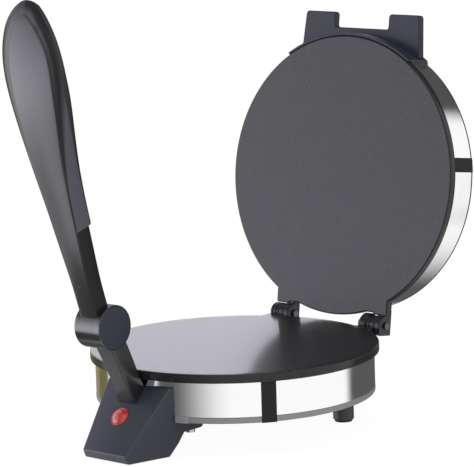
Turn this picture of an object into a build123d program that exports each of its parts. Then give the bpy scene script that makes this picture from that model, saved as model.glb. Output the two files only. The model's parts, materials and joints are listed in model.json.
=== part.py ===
from build123d import *
from math import asin, atan2, cos, degrees, radians, sin, sqrt, tan
import os

# An electric roti maker with its lid open and its pressing lever leaning forward.
# Millimetres. The origin is the centre of the lower plate's cooking face. +Z is up, -Y is
# the front, where the housing and the lever stand, and the lid's hinges are at +Y.

# ---- cooking plates
PLATE_R = 120.0           # both plates, over the lip
LIP_H = 7.4               # height of the lower plate's lip
UPPER_LIP_H = 7.0
PLATE_T = 5.0             # thickness inside the lip
LIP_W = 10.0              # radial width of the solid lip
LIP_ROUND = 1.2
FACE_GAP = 0.5            # between the two faces when the lid is closed
BAND_IN = 4.0             # bright bands of base and lid, in from the plates' lips
BAND_T = 0.8
SEAT_GAP = 0.1            # where a band or cover is held against the next piece
FIT = 0.3                 # general clearance between pieces that don't touch

# ---- base heights
BAND_LOW = -36.0          # lower edge of the base band
RING_LOW = -41.1          # lower edge of the rolled ring
RING_W = 3.2
RING_LEDGE = 4.0          # inward ledge that carries the pan
GROUND = -69.0
PAN_T = 1.0
PAN_LIFT = 0.6            # pan above the ring's lower edge

# ---- studs and heaters, alike in base and lid
STUD_R = 5.0
LONG_STUD_IN = 20.0       # in from the bands
SHORT_STUD_PCD_R = 48.0
HEATER_R = 76.0
HEATER_TUBE_R = 3.3
HEATER_GAP_HALF = 9.0     # half the distance between the heater's two ends
SHIELD_DROP = 8.0         # shield below the plate's underside
SHIELD_T = 1.0
SHIELD_IN = 10.0          # in from the bands
SCREW_R = 1.9             # screws into studs
SCREW_HEAD_R = 3.8
SCREW_HEAD_H = 2.4
SCREW_FIT = 0.05
THERMOSTAT_R = 8.0
THERMOSTAT_XY = (24.0, 8.0)
FUSE_R = 2.2
FUSE_L = 14.0

# ---- hinges
HINGE_OUT = 3.9           # hinge line behind the plates' lips
OPEN_ANGLE = 98.0         # lid angle at rest, on its stop
KNUCKLE_R = 8.0
HINGE_NEAR = 40.3         # inner end of each hinge, from the middle
HINGE_FAR = 61.6          # outer end
EAR_W = 5.5               # lid ear, on the +X side of each hinge
EAR_R = 8.4
PIN_R = 2.5
PIN_HEAD_R = 3.2
PIN_HEAD_H = 2.2
RUN_FIT = 0.05            # running clearance on a pin
TAB_NEAR = 42.0           # tab of the upper plate
TAB_SHORT = 6.0           # its end, in from the lip
STOP_W = 4.3              # stop block on each base knuckle
STOP_FIT = 0.4
LUG_DROP = 0.4            # hinge lugs below the cooking face

# ---- lid, heights given with the lid closed
LID_TOP = 35.6            # upper edge of the lid's band
COVER_RIM = 1.1
COVER_T = 1.2
COVER_RISE = 5.0

# ---- lifting fork on the lid
STRIP_OUT = 2.5           # strip's outside, out from the lip
STRIP_HALF_ANGLE = 33.0
STRIP_LOW = 1.0
STRIP_HIGH = 31.0
STRIP_CHAMFER = 4.0
EAR_LOW = 17.2
EAR_T = 6.5
EAR_IN = 29.5
EAR_TIP_HALF = 62.4
EAR_ROOT_HALF = 65.2
EAR_TIP_OUT = 20.5        # forward of the lip
BRIDGE_OUT = 7.3
EAR_ROUND = 3.2

# ---- seam clips
CLIP_HALF_ANGLE = 3.0
BASE_CLIP_ANGLE = -35.1
LID_CLIP_ANGLE = -8.5
CLIP_T = 0.6

# ---- front housing, distances forward of the plates' lips or back from them
FACE_LOW_OUT = 38.0       # lower edge of the sloping face
FACE_LOW_Z = -61.3
FACE_TOP_IN = 5.3         # its upper edge
FACE_TOP_Z = -12.2
FOOT_FRONT_OUT = 34.5
HOUSING_LOW = -68.2
FOOT_REAR_IN = 3.5
KNEE_IN = 19.0
FLANGE_LOW = -50.6        # underside of the flange below the base
FLANGE_END_IN = 48.0
HOUSING_FRONT_HALF = 22.5
SIDE_SPREAD = 0.239       # half width gained per millimetre towards the back
FLANGE_WIDE_IN = 12.0     # where the housing stops widening
FLANGE_ROUND = 12.0
WALL = 2.6
HOUSING_SCREW_X = 30.0
HOUSING_SCREW_IN = 30.5
COVER_PLATE_T = 2.2
PAD_R = 5.0
PAD_PROUD = HOUSING_LOW - GROUND

# ---- indicator
LENS_DOWN = 33.5          # along the sloping face, from its lower edge
LENS_X = -3.4             # a little left of the middle
LENS_R = 8.0
LENS_RISE = 3.6
LENS_BARREL_R = 6.0
LENS_BARREL_L = 6.0
LAMP_R = 3.4
LAMP_L = 7.0

# ---- lever pivot and post
PIVOT_OUT = 34.5          # forward of the lips
PIVOT_Z = 41.3
DRUM_R = 18.0
DRUM_HALF = 14.0
DRUM_WALL = 2.5
POST_LEAN = 29.0          # from upright
POST_HALF = 8.7
POST_FRONT = 9.0          # front face, from the line through the pivot
POST_REAR = 8.1
POST_REAR_LOW = 6.3
POST_TAPER_AT = 50.0      # distance from the pivot where the rear face has come in
POST_FOOT_Z = -24.5
POST_FOOT_LEFT = 12.5     # the foot spreads mostly to the left
POST_FOOT_RIGHT = 9.0
POST_FOOT_H = 8.5
TONGUE_HALF = 8.0
TONGUE_T = 4.6
TONGUE_LOW = -60.0
EYE_FIT = 0.5             # between the post's eye and the drum's wall
PIVOT_PIN_R = 4.0
WASHER_T = 0.5
WASHER_R = 9.0
CAP_IN = 1.6              # in from the drum's outside
CAP_T = 1.8

# ---- lever
LEVER_LEAN = 17.5         # forward from upright, at rest on its stop
LEVER_SWING = 104.5       # back and down to 3 degrees above level
ARM_FRONT = 12.0          # outer face, forward of the line through the pivot
ARM_BACK = 3.2            # inner face of the shank, behind that line
SHANK_HALF = 9.2
PAD_START = 88.0          # along the lever from the pivot
PAD_BACK = 6.0
PARTING = 1.0             # joint between outer shell and pad, behind the line
BEND_FROM_TIP = 80.6      # where that joint begins to curve back
BEND_START = 120.0        # where the outer face begins to curve back
NOSE_FROM_TIP = 20.6
NOSE_BACK = 2.4           # the outer face there, behind the line
LEVER_TIP = 270.6
TIP_BACK = 14.6
PADDLE_HALF = 31.3
PADDLE_FROM_TIP = 55.6    # where the paddle is widest
GRIP_SCREWS_UP = (16.0, 72.0)   # from the pad's lower end
TOP_SCREW_DOWN = 44.6     # from the tip
SHELL = 3.4               # wall of the hollow grip

# ---- feet
FOOT_X = 65.0
FOOT_Y = 61.0
FOOT_R = 8.75
FOOT_PAD_R = 7.4
FOOT_PAD_PROUD = 1.6
FOOT_PAD_IN = 1.0

# ---- post bracket and bolts
BRACKET_T = 1.8
BRACKET_HALF = 14.0
BRACKET_END_IN = 36.0
BOLT_R = 2.5
BOLT_HEAD_R = 4.0
BOLT_HEAD_H = 3.0
POST_BOLT_X = 4.8
POST_BOLT_Z = -52.0
BRACKET_SCREW_X = 9.0
BRACKET_SCREW_IN = 25.0

# ---- cable entries
CORD_R = 3.4
GROMMET_R = 5.4
GROMMET_LIP_R = 7.0
BUSH_R = 3.6
BUSH_BORE_R = 2.2

# ---- worked out
FRONT = -PLATE_R          # front of the plates
BAND_R = PLATE_R - BAND_IN
LONG_STUD_PCD_R = BAND_R - LONG_STUD_IN
SHIELD_R = BAND_R - SHIELD_IN
HINGE_Y = PLATE_R + HINGE_OUT
TAB_FAR = HINGE_FAR       # the tabs end with the hinges
TAB_END = PLATE_R - TAB_SHORT
STRIP_OUT_R = PLATE_R + STRIP_OUT
EAR_TIP_Y = FRONT - EAR_TIP_OUT
BRIDGE_Y = FRONT - BRIDGE_OUT
FACE_LOW_Y = FRONT - FACE_LOW_OUT
FACE_TOP_Y = FRONT + FACE_TOP_IN
FOOT_FRONT_Y = FRONT - FOOT_FRONT_OUT
FOOT_REAR_Y = FRONT + FOOT_REAR_IN
KNEE_Y = FRONT + KNEE_IN
FLANGE_END_Y = FRONT + FLANGE_END_IN
FLANGE_WIDE_Y = FRONT + FLANGE_WIDE_IN
HOUSING_SCREW_Y = FRONT + HOUSING_SCREW_IN
PIVOT_Y = FRONT - PIVOT_OUT
BRACKET_END_Y = FRONT + BRACKET_END_IN
BRACKET_SCREW_Y = FRONT + BRACKET_SCREW_IN
HINGE_Z = FACE_GAP / 2
UNDER = -PLATE_T
UPPER_FACE = FACE_GAP
UPPER_LIP_TOP = UPPER_FACE + UPPER_LIP_H
UPPER_BACK = UPPER_FACE + PLATE_T
PAN_TOP = RING_LOW + PAN_LIFT + PAN_T
SHIELD_TOP = UNDER - SHIELD_DROP
UPPER_SHIELD_LOW = UPPER_BACK + SHIELD_DROP
BAND_TOP = -LIP_H - SEAT_GAP
LID_BAND_LOW = UPPER_LIP_TOP + SEAT_GAP
COVER_LOW = LID_TOP - COVER_RIM
FACE_SLOPE = atan2(FACE_TOP_Z - FACE_LOW_Z, FACE_TOP_Y - FACE_LOW_Y)
LENS_Y = FACE_LOW_Y + LENS_DOWN * cos(FACE_SLOPE)
LENS_Z = FACE_LOW_Z + LENS_DOWN * sin(FACE_SLOPE)
CHEEK = POST_HALF + FIT
EYE_HALF = POST_HALF - WASHER_T
EYE_R = DRUM_R - DRUM_WALL - EYE_FIT
CAP_R = DRUM_R - CAP_IN
PARTING_BEND = LEVER_TIP - BEND_FROM_TIP
NOSE_S = LEVER_TIP - NOSE_FROM_TIP
PADDLE_AT = LEVER_TIP - PADDLE_FROM_TIP
GRIP_SCREWS_AT = (PAD_START + GRIP_SCREWS_UP[0], PAD_START + GRIP_SCREWS_UP[1], LEVER_TIP - TOP_SCREW_DOWN)
TIP_REAR = (TIP_BACK + 1.2, LEVER_TIP - 4.0)
LEDGE_R = BAND_R - RING_W - RING_LEDGE
PAN_R = BAND_R - RING_W - SEAT_GAP
LONG_STUD_ANGLES = (30.0, 150.0, 240.0, 300.0)
SHORT_STUD_ANGLES = (45.0, 135.0, 225.0, 315.0)
LOW = (Align.CENTER, Align.CENTER, Align.MIN)


def disc(radius, low, high, x=0.0, y=0.0):
    """Upright cylinder between two heights."""
    return Pos(x, y, low) * Cylinder(radius, high - low, align=LOW)


def ring(outer, inner, low, high, x=0.0, y=0.0):
    """Upright tube between two heights."""
    return disc(outer, low, high, x, y) - disc(inner, low - 1, high + 1, x, y)


def block(x, y, z):
    """Box between three pairs of limits."""
    size = (x[1] - x[0], y[1] - y[0], z[1] - z[0])
    return Pos(x[0], y[0], z[0]) * Box(*size, align=(Align.MIN, Align.MIN, Align.MIN))


def rod(radius, x_low, x_high, y, z):
    """Cylinder along X."""
    return Pos(x_low, y, z) * Rot(0, 90, 0) * Cylinder(radius, x_high - x_low, align=LOW)


def side_slab(outline, x_low, x_high):
    """Closed outline of (y, z) points, carried along X."""
    face = Plane.YZ.offset(x_low) * Polygon(*outline, align=None)
    return extrude(face, x_high - x_low, dir=(1, 0, 0))


def plan_slab(outline, z_low, z_high):
    """Closed outline of (x, y) points, carried upwards."""
    face = Pos(0, 0, z_low) * Polygon(*outline, align=None)
    return extrude(face, z_high - z_low, dir=(0, 0, 1))


def arc_strip(outer, inner, low, high, middle, half):
    """Part of an upright tube, half an angle to each side of a middle direction."""
    profile = Plane.XZ * Polygon((inner, low), (outer, low), (outer, high), (inner, high), align=None)
    return Rot(0, 0, middle - half) * revolve(profile, Axis.Z, 2 * half)


def polar(radius, angle):
    return radius * cos(radians(angle)), radius * sin(radians(angle))


def joined(pieces):
    """Fuse overlapping pieces, or keep separate ones as one group."""
    whole = pieces[0]
    for piece in pieces[1:]:
        whole = whole + piece
    return whole


def screw_up(x, y, head_low, tip, radius=SCREW_R, head_r=SCREW_HEAD_R, head_h=SCREW_HEAD_H):
    """Screw driven upwards: its head is below, with a cross recess."""
    head = disc(head_r, head_low, head_low + head_h, x, y)
    slot = block((x - head_r * 0.62, x + head_r * 0.62), (y - 0.5, y + 0.5), (head_low - 1, head_low + 0.9))
    cross = Pos(x, y, 0) * Rot(0, 0, 90) * Pos(-x, -y, 0) * slot
    return head + disc(radius, head_low + head_h - 0.5, tip, x, y) - slot - cross


def screw_down(x, y, head_top, tip, radius=SCREW_R, head_r=SCREW_HEAD_R, head_h=SCREW_HEAD_H):
    """Screw driven downwards: its head is on top."""
    turned = screw_up(x, y, -head_top, -tip, radius, head_r, head_h)
    return mirror(turned, Plane.XY)


def hexagon(radius, height):
    """Hexagonal head or nut standing on the XY plane."""
    return extrude(RegularPolygon(radius, 6), height, dir=(0, 0, 1))


def opened(piece):
    """Turn a piece drawn with the lid closed to where it rests with the lid open."""
    return piece.rotate(Axis((0, HINGE_Y, HINGE_Z), (1, 0, 0)), -OPEN_ANGLE)


def leaned(piece):
    """Turn a piece drawn on an upright lever at the origin to the lever's rest place."""
    return Pos(0, PIVOT_Y, PIVOT_Z) * Rot(LEVER_LEAN, 0, 0) * piece


# ---- lower plate, heater and what hangs under it


def hinge_spans():
    """Where each hinge's base knuckle and lid ear run along X, left hinge first."""
    spans = []
    for start in (-HINGE_FAR, HINGE_NEAR):
        ear_high = start + HINGE_FAR - HINGE_NEAR
        ear_low = ear_high - EAR_W
        spans.append(((start, ear_low - FIT), (ear_low, ear_high)))
    return spans


def stop_outline():
    """Stop block on a knuckle, just under the end of the open lid's tab."""
    outline = []
    tab_low = (TAB_END - HINGE_Y, UPPER_FACE - HINGE_Z)
    tab_high = (TAB_END - HINGE_Y, UPPER_LIP_TOP - HINGE_Z)
    turn = radians(-OPEN_ANGLE)
    for y, z in (tab_low, tab_high):
        outline.append((y * cos(turn) - z * sin(turn), y * sin(turn) + z * cos(turn)))
    (y0, z0), (y1, z1) = outline
    return [
        (HINGE_Y + y0 + FIT, HINGE_Z + z0 - STOP_FIT),
        (HINGE_Y + y0 + FIT, HINGE_Z),
        (HINGE_Y + y1, HINGE_Z),
        (HINGE_Y + y1, HINGE_Z + z1 - STOP_FIT),
    ]


def lower_plate():
    plate = disc(PLATE_R, -LIP_H, 0) - disc(PLATE_R - LIP_W, -LIP_H - 1, UNDER)
    plate = fillet(plate.faces().sort_by(Axis.Z)[-1].edges(), LIP_ROUND)
    for (low, high), _ in hinge_spans():
        root_y = PLATE_R - 2 * LIP_W
        lug = block((low, high), (root_y, HINGE_Y), (-LIP_H, -LUG_DROP))
        plate += lug - disc(PLATE_R - LIP_W, -LIP_H - 1, UNDER)
        plate += rod(KNUCKLE_R, low, high, HINGE_Y, HINGE_Z)
        if low > 0:
            back = PLATE_R - LIP_W
            flare = [(low - 6.5, back), (low - 6.5, back + 4.6), (low, back + 10.5), (low + 1, back)]
            plate += plan_slab(flare, -LIP_H, -LUG_DROP)
        plate += side_slab(stop_outline(), high - STOP_W, high)
        plate -= rod(PIN_R + 0.02, low - 1, high + 1, HINGE_Y, HINGE_Z)
        for share in (0.3, 0.55, 0.8):
            groove_x = low + share * (high - STOP_W - low)
            groove = rod(KNUCKLE_R + 1, groove_x - 0.5, groove_x + 0.5, HINGE_Y, HINGE_Z)
            groove -= rod(KNUCKLE_R - 0.7, groove_x - 1, groove_x + 1, HINGE_Y, HINGE_Z)
            plate -= groove & block((low, high), (HINGE_Y - 20, HINGE_Y + 20), (0.2, 20))
    for angle in LONG_STUD_ANGLES:
        x, y = polar(LONG_STUD_PCD_R, angle)
        plate += disc(STUD_R, PAN_TOP + SEAT_GAP, UNDER + 0.5, x, y)
        plate -= disc(SCREW_R + SCREW_FIT, PAN_TOP - 1, PAN_TOP + 12, x, y)
    for angle in SHORT_STUD_ANGLES:
        x, y = polar(SHORT_STUD_PCD_R, angle)
        plate += disc(STUD_R, SHIELD_TOP + SEAT_GAP, UNDER + 0.5, x, y)
        plate -= disc(SCREW_R + SCREW_FIT, SHIELD_TOP - 1, UNDER - 1, x, y)
    return plate


def heater(drop):
    """Round tubular heater below the XY plane, with its two ends turned down at the front."""
    gap_angle = degrees(asin(HEATER_GAP_HALF / HEATER_R))
    profile = Plane.XZ * Pos(HEATER_R, -HEATER_TUBE_R) * Circle(HEATER_TUBE_R)
    tube = Rot(0, 0, -90 + gap_angle) * revolve(profile, Axis.Z, 360 - 2 * gap_angle)
    for side in (-1, 1):
        x = side * HEATER_GAP_HALF
        y = -sqrt(HEATER_R**2 - HEATER_GAP_HALF**2)
        tube += Pos(x, y, -HEATER_TUBE_R) * Sphere(HEATER_TUBE_R)
        tube += disc(HEATER_TUBE_R, -drop, -HEATER_TUBE_R, x, y)
        tube += disc(1.5, -drop - 4, -drop + 1, x, y)
    return tube


def heat_shield(top):
    """Pressed disc with holes for the studs, the heater's ends and the thermostat."""
    shield = disc(SHIELD_R, top - SHIELD_T, top)
    for angle in LONG_STUD_ANGLES:
        shield -= disc(STUD_R + FIT, top - 2, top + 1, *polar(LONG_STUD_PCD_R, angle))
    for angle in SHORT_STUD_ANGLES:
        shield -= disc(SCREW_R + SCREW_FIT, top - 2, top + 1, *polar(SHORT_STUD_PCD_R, angle))
    for side in (-1, 1):
        y = -sqrt(HEATER_R**2 - HEATER_GAP_HALF**2)
        shield -= disc(HEATER_TUBE_R + FIT, top - 2, top + 1, side * HEATER_GAP_HALF, y)
    return shield


def shield_screws(top):
    """Group of screws that hold a shield to the short studs above it."""
    screws = []
    for angle in SHORT_STUD_ANGLES:
        x, y = polar(SHORT_STUD_PCD_R, angle)
        screws.append(screw_up(x, y, top - SHIELD_T - SCREW_HEAD_H, top + SHIELD_DROP - 1.5))
    return joined(screws)


def thermostat():
    """Round snap-disc thermostat between plate and shield, with two flat blades."""
    x, y = THERMOSTAT_XY
    body = disc(THERMOSTAT_R, SHIELD_TOP + 0.2, UNDER - 0.2, x, y)
    for side in (-1, 1):
        near = x + side * (THERMOSTAT_R - 1)
        far = x + side * (THERMOSTAT_R + 7)
        body += block((min(near, far), max(near, far)), (y - 2.4, y + 2.4), (SHIELD_TOP + 2.5, SHIELD_TOP + 3.3))
    return body


def thermal_fuse():
    """Small cylinder with a lead at each end, strapped under the shield."""
    z = SHIELD_TOP - SHIELD_T - FUSE_R - 0.1
    fuse = rod(FUSE_R, -FUSE_L / 2, FUSE_L / 2, 18.0, z)
    fuse += rod(0.6, -FUSE_L / 2 - 9, FUSE_L / 2 + 9, 18.0, z)
    return fuse


# ---- base shell


def lead_window():
    """Window in the base band, behind the housing, for the heater's leads."""
    half = HEATER_GAP_HALF + 9
    return block((-half, half), (-BAND_R - 5, -BAND_R + 20), (BAND_LOW + 3.0, BAND_LOW + 14.0))


def base_band():
    band = ring(BAND_R, BAND_R - BAND_T, BAND_LOW + SEAT_GAP, BAND_TOP) - lead_window()
    bush_z = (BAND_LOW + BAND_TOP) / 2
    return band - Pos(0, BAND_R, bush_z) * Rot(90, 0, 0) * Cylinder(BUSH_R, 10)


def base_ring():
    body = ring(BAND_R + 0.2, BAND_R - RING_W, RING_LOW, BAND_LOW)
    body = fillet(body.edges().filter_by(GeomType.CIRCLE).sort_by(SortBy.RADIUS)[-2:], 1.1)
    return body + ring(BAND_R - RING_W + 0.5, LEDGE_R, RING_LOW, RING_LOW + PAN_LIFT - SEAT_GAP)


def base_pan():
    pan = disc(PAN_R, RING_LOW + PAN_LIFT, PAN_TOP)
    for angle in LONG_STUD_ANGLES:
        pan -= disc(SCREW_R + FIT, RING_LOW - 1, PAN_TOP + 1, *polar(LONG_STUD_PCD_R, angle))
    for side in (-1, 1):
        pan -= disc(SCREW_R + FIT, RING_LOW - 1, PAN_TOP + 1, side * FOOT_X, FOOT_Y)
        pan -= disc(SCREW_R + FIT, RING_LOW - 1, PAN_TOP + 1, side * HOUSING_SCREW_X, HOUSING_SCREW_Y)
        pan -= disc(SCREW_R + FIT, RING_LOW - 1, PAN_TOP + 1, side * BRACKET_SCREW_X, BRACKET_SCREW_Y)
    for x in (-24, -12, 0, 12, 24):
        pan -= block((x - 1.6, x + 1.6), (-16, 16), (RING_LOW - 1, PAN_TOP + 1))
    return pan


def pan_screws():
    return joined(
        [
            screw_up(*polar(LONG_STUD_PCD_R, angle), RING_LOW + PAN_LIFT - SCREW_HEAD_H, PAN_TOP + 10)
            for angle in LONG_STUD_ANGLES
        ]
    )


def rear_feet():
    feet = []
    for side in (-1, 1):
        foot = disc(FOOT_R, GROUND + FOOT_PAD_PROUD, RING_LOW + PAN_LIFT - SEAT_GAP, side * FOOT_X, FOOT_Y)
        foot = fillet(foot.edges().sort_by(Axis.Z)[0], 1.0)
        foot -= disc(SCREW_R + SCREW_FIT, RING_LOW - 14, RING_LOW + 2, side * FOOT_X, FOOT_Y)
        low = GROUND + FOOT_PAD_PROUD
        foot -= disc(FOOT_PAD_R + 0.1, low - 1, low + FOOT_PAD_IN, side * FOOT_X, FOOT_Y)
        feet.append(foot)
    return joined(feet)


def foot_pads():
    top = GROUND + FOOT_PAD_PROUD + FOOT_PAD_IN - SEAT_GAP
    return joined([disc(FOOT_PAD_R, GROUND, top, side * FOOT_X, FOOT_Y) for side in (-1, 1)])


def foot_screws():
    """Screws driven down through the pan into the feet."""
    head_top = PAN_TOP + SCREW_HEAD_H
    return joined([screw_down(side * FOOT_X, FOOT_Y, head_top, RING_LOW - 12) for side in (-1, 1)])


def base_clip():
    inner = BAND_R + 0.25
    return arc_strip(inner + CLIP_T, inner, RING_LOW, BAND_TOP, BASE_CLIP_ANGLE, CLIP_HALF_ANGLE)


def rim_clips():
    """Short bright clips on the ring, at both sides of the housing."""
    clips = []
    for side in (-1, 1):
        middle = -90 + side * 20.0
        clips.append(arc_strip(BAND_R + 1.0, BAND_R + 0.25, RING_LOW + 0.3, BAND_LOW + 0.6, middle, 2.75))
    return joined(clips)


# ---- front housing


def inset_outline(outline, inset):
    """Outline of points moved inwards by a wall."""
    face = Polygon(*outline, align=None)
    return offset(face, -inset) if inset else face


def housing_form(inset):
    """The housing's outer form, or with an inset the hollow inside it."""
    side = [
        (FACE_LOW_Y, FACE_LOW_Z),
        (FOOT_FRONT_Y, HOUSING_LOW),
        (FOOT_REAR_Y, HOUSING_LOW),
        (KNEE_Y, FLANGE_LOW),
        (FLANGE_END_Y, FLANGE_LOW),
        (FLANGE_END_Y, RING_LOW + inset + inset),
        (FRONT + 20.0, RING_LOW + inset + inset),
        (FRONT + 20.0, FACE_TOP_Z),
        (FACE_TOP_Y, FACE_TOP_Z),
    ]
    wide = HOUSING_FRONT_HALF + SIDE_SPREAD * (FLANGE_WIDE_Y - FACE_LOW_Y)
    plan = [
        (-HOUSING_FRONT_HALF, FACE_LOW_Y),
        (HOUSING_FRONT_HALF, FACE_LOW_Y),
        (wide, FLANGE_WIDE_Y),
        (wide, FLANGE_END_Y),
        (-wide, FLANGE_END_Y),
        (-wide, FLANGE_WIDE_Y),
    ]
    from_side = extrude(Plane.YZ.offset(-60) * inset_outline(side, inset), 120, dir=(1, 0, 0))
    from_above = extrude(Pos(0, 0, -90) * inset_outline(plan, inset), 100, dir=(0, 0, 1))
    form = from_side & from_above
    corners = form.edges().filter_by(Axis.Z).group_by(Axis.Y)[-1]
    form = fillet(corners, FLANGE_ROUND - inset)
    form -= block((-60, 60), (FRONT - 80, 0), (RING_LOW - FIT, 20)) & disc(BAND_R + 0.4, RING_LOW - FIT, 20)
    return form


def out_of_face():
    """Frame at the lens centre whose Z axis is the sloping face's outward normal."""
    normal = (0, -sin(FACE_SLOPE), cos(FACE_SLOPE))
    return Plane(origin=(LENS_X, LENS_Y, LENS_Z), x_dir=(1, 0, 0), z_dir=normal)


def along_face(radius, low, high):
    """Cylinder square to the sloping face, between two distances out of it."""
    return out_of_face().offset(low) * Cylinder(radius, high - low, align=LOW)


def side_normal_place(y, z):
    """Frame on the housing's left side face, with its Z axis pointing outwards."""
    x = -(HOUSING_FRONT_HALF + SIDE_SPREAD * (y - FACE_LOW_Y))
    length = sqrt(1 + SIDE_SPREAD**2)
    return Plane(origin=(x, y, z), x_dir=(0, 0, 1), z_dir=(-1 / length, -SIDE_SPREAD / length, 0))


CORD_PLACE = side_normal_place(FRONT - 8.0, -54.0)


def housing_floor_window():
    """Opening in the housing's underside that the bottom cover closes."""
    front = FOOT_FRONT_Y + 6.0
    rear = FOOT_REAR_Y - 4.0
    half = HOUSING_FRONT_HALF - 3.0
    return front, rear, half


def front_housing():
    shell = housing_form(0) - housing_form(WALL)
    front, rear, half = housing_floor_window()
    for side in (-1, 1):
        x, y = side * HOUSING_SCREW_X, HOUSING_SCREW_Y
        shell += disc(4.4, FLANGE_LOW + 1, RING_LOW + PAN_LIFT - SEAT_GAP, x, y)
        shell -= disc(SCREW_R + FIT, FLANGE_LOW - 1, RING_LOW + 2, x, y)
        shell += disc(3.8, HOUSING_LOW + 1, HOUSING_LOW + 12, side * (half - 4.5), (front + rear) / 2)
    shell -= block((-half, half), (front, rear), (HOUSING_LOW - 1, HOUSING_LOW + COVER_PLATE_T + 0.1))
    for side in (-1, 1):
        x = side * (half - 4.5)
        shell -= disc(SCREW_R + SCREW_FIT, HOUSING_LOW - 1, HOUSING_LOW + 10, x, (front + rear) / 2)
    gap = POST_HALF + FIT
    shell -= block((-gap, gap), (FRONT - 20, FRONT + 20), (POST_FOOT_Z - FIT, 0))
    shell -= along_face(LENS_BARREL_R + 0.1, -8, 2)
    shell -= CORD_PLACE.offset(-8) * Cylinder(GROMMET_R, 12, align=LOW)
    return shell


def housing_cover():
    front, rear, half = housing_floor_window()
    low, high = HOUSING_LOW, HOUSING_LOW + COVER_PLATE_T
    plate = block((-half + 0.2, half - 0.2), (front + 0.2, rear - 0.2), (low, high))
    for side in (-1, 1):
        x = side * (half - 4.5)
        plate -= disc(SCREW_R + FIT, low - 1, high + 1, x, (front + rear) / 2)
        plate -= disc(SCREW_HEAD_R + FIT, low - 1, low + 1.2, x, (front + rear) / 2)
        plate -= disc(PAD_R + 0.1, low - 1, low + 1.0, side * 8.0, front + 6.0)
    return plate


def cover_screws():
    front, rear, half = housing_floor_window()
    screws = []
    for side in (-1, 1):
        head_low = HOUSING_LOW - 0.3
        screws.append(
            screw_up(side * (half - 4.5), (front + rear) / 2, head_low, HOUSING_LOW + 9, head_h=1.4)
        )
    return joined(screws)


def front_pads():
    front, rear, half = housing_floor_window()
    top = HOUSING_LOW + 1.0 - SEAT_GAP
    return joined([disc(PAD_R, GROUND, top, side * 8.0, front + 6.0) for side in (-1, 1)])


def housing_screws():
    return joined(
        [
            screw_up(side * HOUSING_SCREW_X, HOUSING_SCREW_Y, FLANGE_LOW - SCREW_HEAD_H, PAN_TOP + 3)
            for side in (-1, 1)
        ]
    )


def indicator_lens():
    """Domed red lens: a flange on the face and a barrel through the wall."""
    dome_r = (LENS_R**2 + LENS_RISE**2) / (2 * LENS_RISE)
    frame = out_of_face()
    dome = frame.offset(LENS_RISE - dome_r) * Sphere(dome_r)
    lens = dome & along_face(LENS_R, 0, LENS_RISE + 1)
    lens += along_face(LENS_R, 0.1, 0.7)
    lens = lens - along_face(LENS_R + 2, -3, 0.1)
    return lens + along_face(LENS_BARREL_R, -LENS_BARREL_L, 0.6) - along_face(LAMP_R + 0.4, -9, -1.2)


def indicator_lamp():
    """Small glass lamp whose tip stands in the lens barrel, with a holder ring behind it."""
    end = -LENS_BARREL_L - LAMP_L
    lamp = along_face(LAMP_R, end, -2.4)
    lamp += along_face(LENS_BARREL_R - 0.6, -LENS_BARREL_L - 2.2, -LENS_BARREL_L - 0.1)
    for side in (-1, 1):
        lamp += out_of_face().offset(end - 3) * Pos(side * 1.5, 0, 0) * Cylinder(0.5, 4, align=LOW)
    return lamp


def cord_grommet():
    """Rubber grommet in the housing's left side, where the mains lead would enter."""
    body = CORD_PLACE.offset(-WALL - 1.8) * Cylinder(GROMMET_R - 0.05, WALL + 3.4, align=LOW)
    body += CORD_PLACE.offset(0.1) * Cylinder(GROMMET_LIP_R, 2.0, align=LOW)
    body += CORD_PLACE.offset(-WALL - 2.2) * Cylinder(GROMMET_LIP_R, 1.8, align=LOW)
    return body - CORD_PLACE.offset(-10) * Cylinder(CORD_R, 20, align=LOW)


TERMINAL_X = (-10.5, 10.5)
TERMINAL_Y = (FRONT - 26.0, FRONT - 15.0)
TERMINAL_LOW = HOUSING_LOW + WALL + 0.2
TERMINAL_H = 9.0


def terminal_ways():
    step = (TERMINAL_X[1] - TERMINAL_X[0]) / 3
    return [TERMINAL_X[0] + step * (i + 0.5) for i in range(3)]


def terminal_block():
    body = block(TERMINAL_X, TERMINAL_Y, (TERMINAL_LOW, TERMINAL_LOW + TERMINAL_H))
    for x in terminal_ways():
        z = TERMINAL_LOW + 4.5
        body -= Pos(x, TERMINAL_Y[0] - 1, z) * Rot(-90, 0, 0) * Cylinder(2.1, 20, align=LOW)
        body -= disc(1.4, TERMINAL_LOW + 4, TERMINAL_LOW + TERMINAL_H + 1, x, sum(TERMINAL_Y) / 2)
    return body


def terminal_clamps():
    """Brass clamp tubes with their screws."""
    clamps = []
    for x in terminal_ways():
        z = TERMINAL_LOW + 4.5
        y_low = TERMINAL_Y[0] + 0.8
        tube = Pos(x, y_low, z) * Rot(-90, 0, 0) * Cylinder(2.05, 9.4, align=LOW)
        tube -= Pos(x, y_low - 1, z) * Rot(-90, 0, 0) * Cylinder(1.2, 12, align=LOW)
        tube += disc(1.3, z + 1.5, TERMINAL_LOW + TERMINAL_H - 0.4, x, sum(TERMINAL_Y) / 2)
        clamps.append(tube)
    return joined(clamps)


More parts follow.
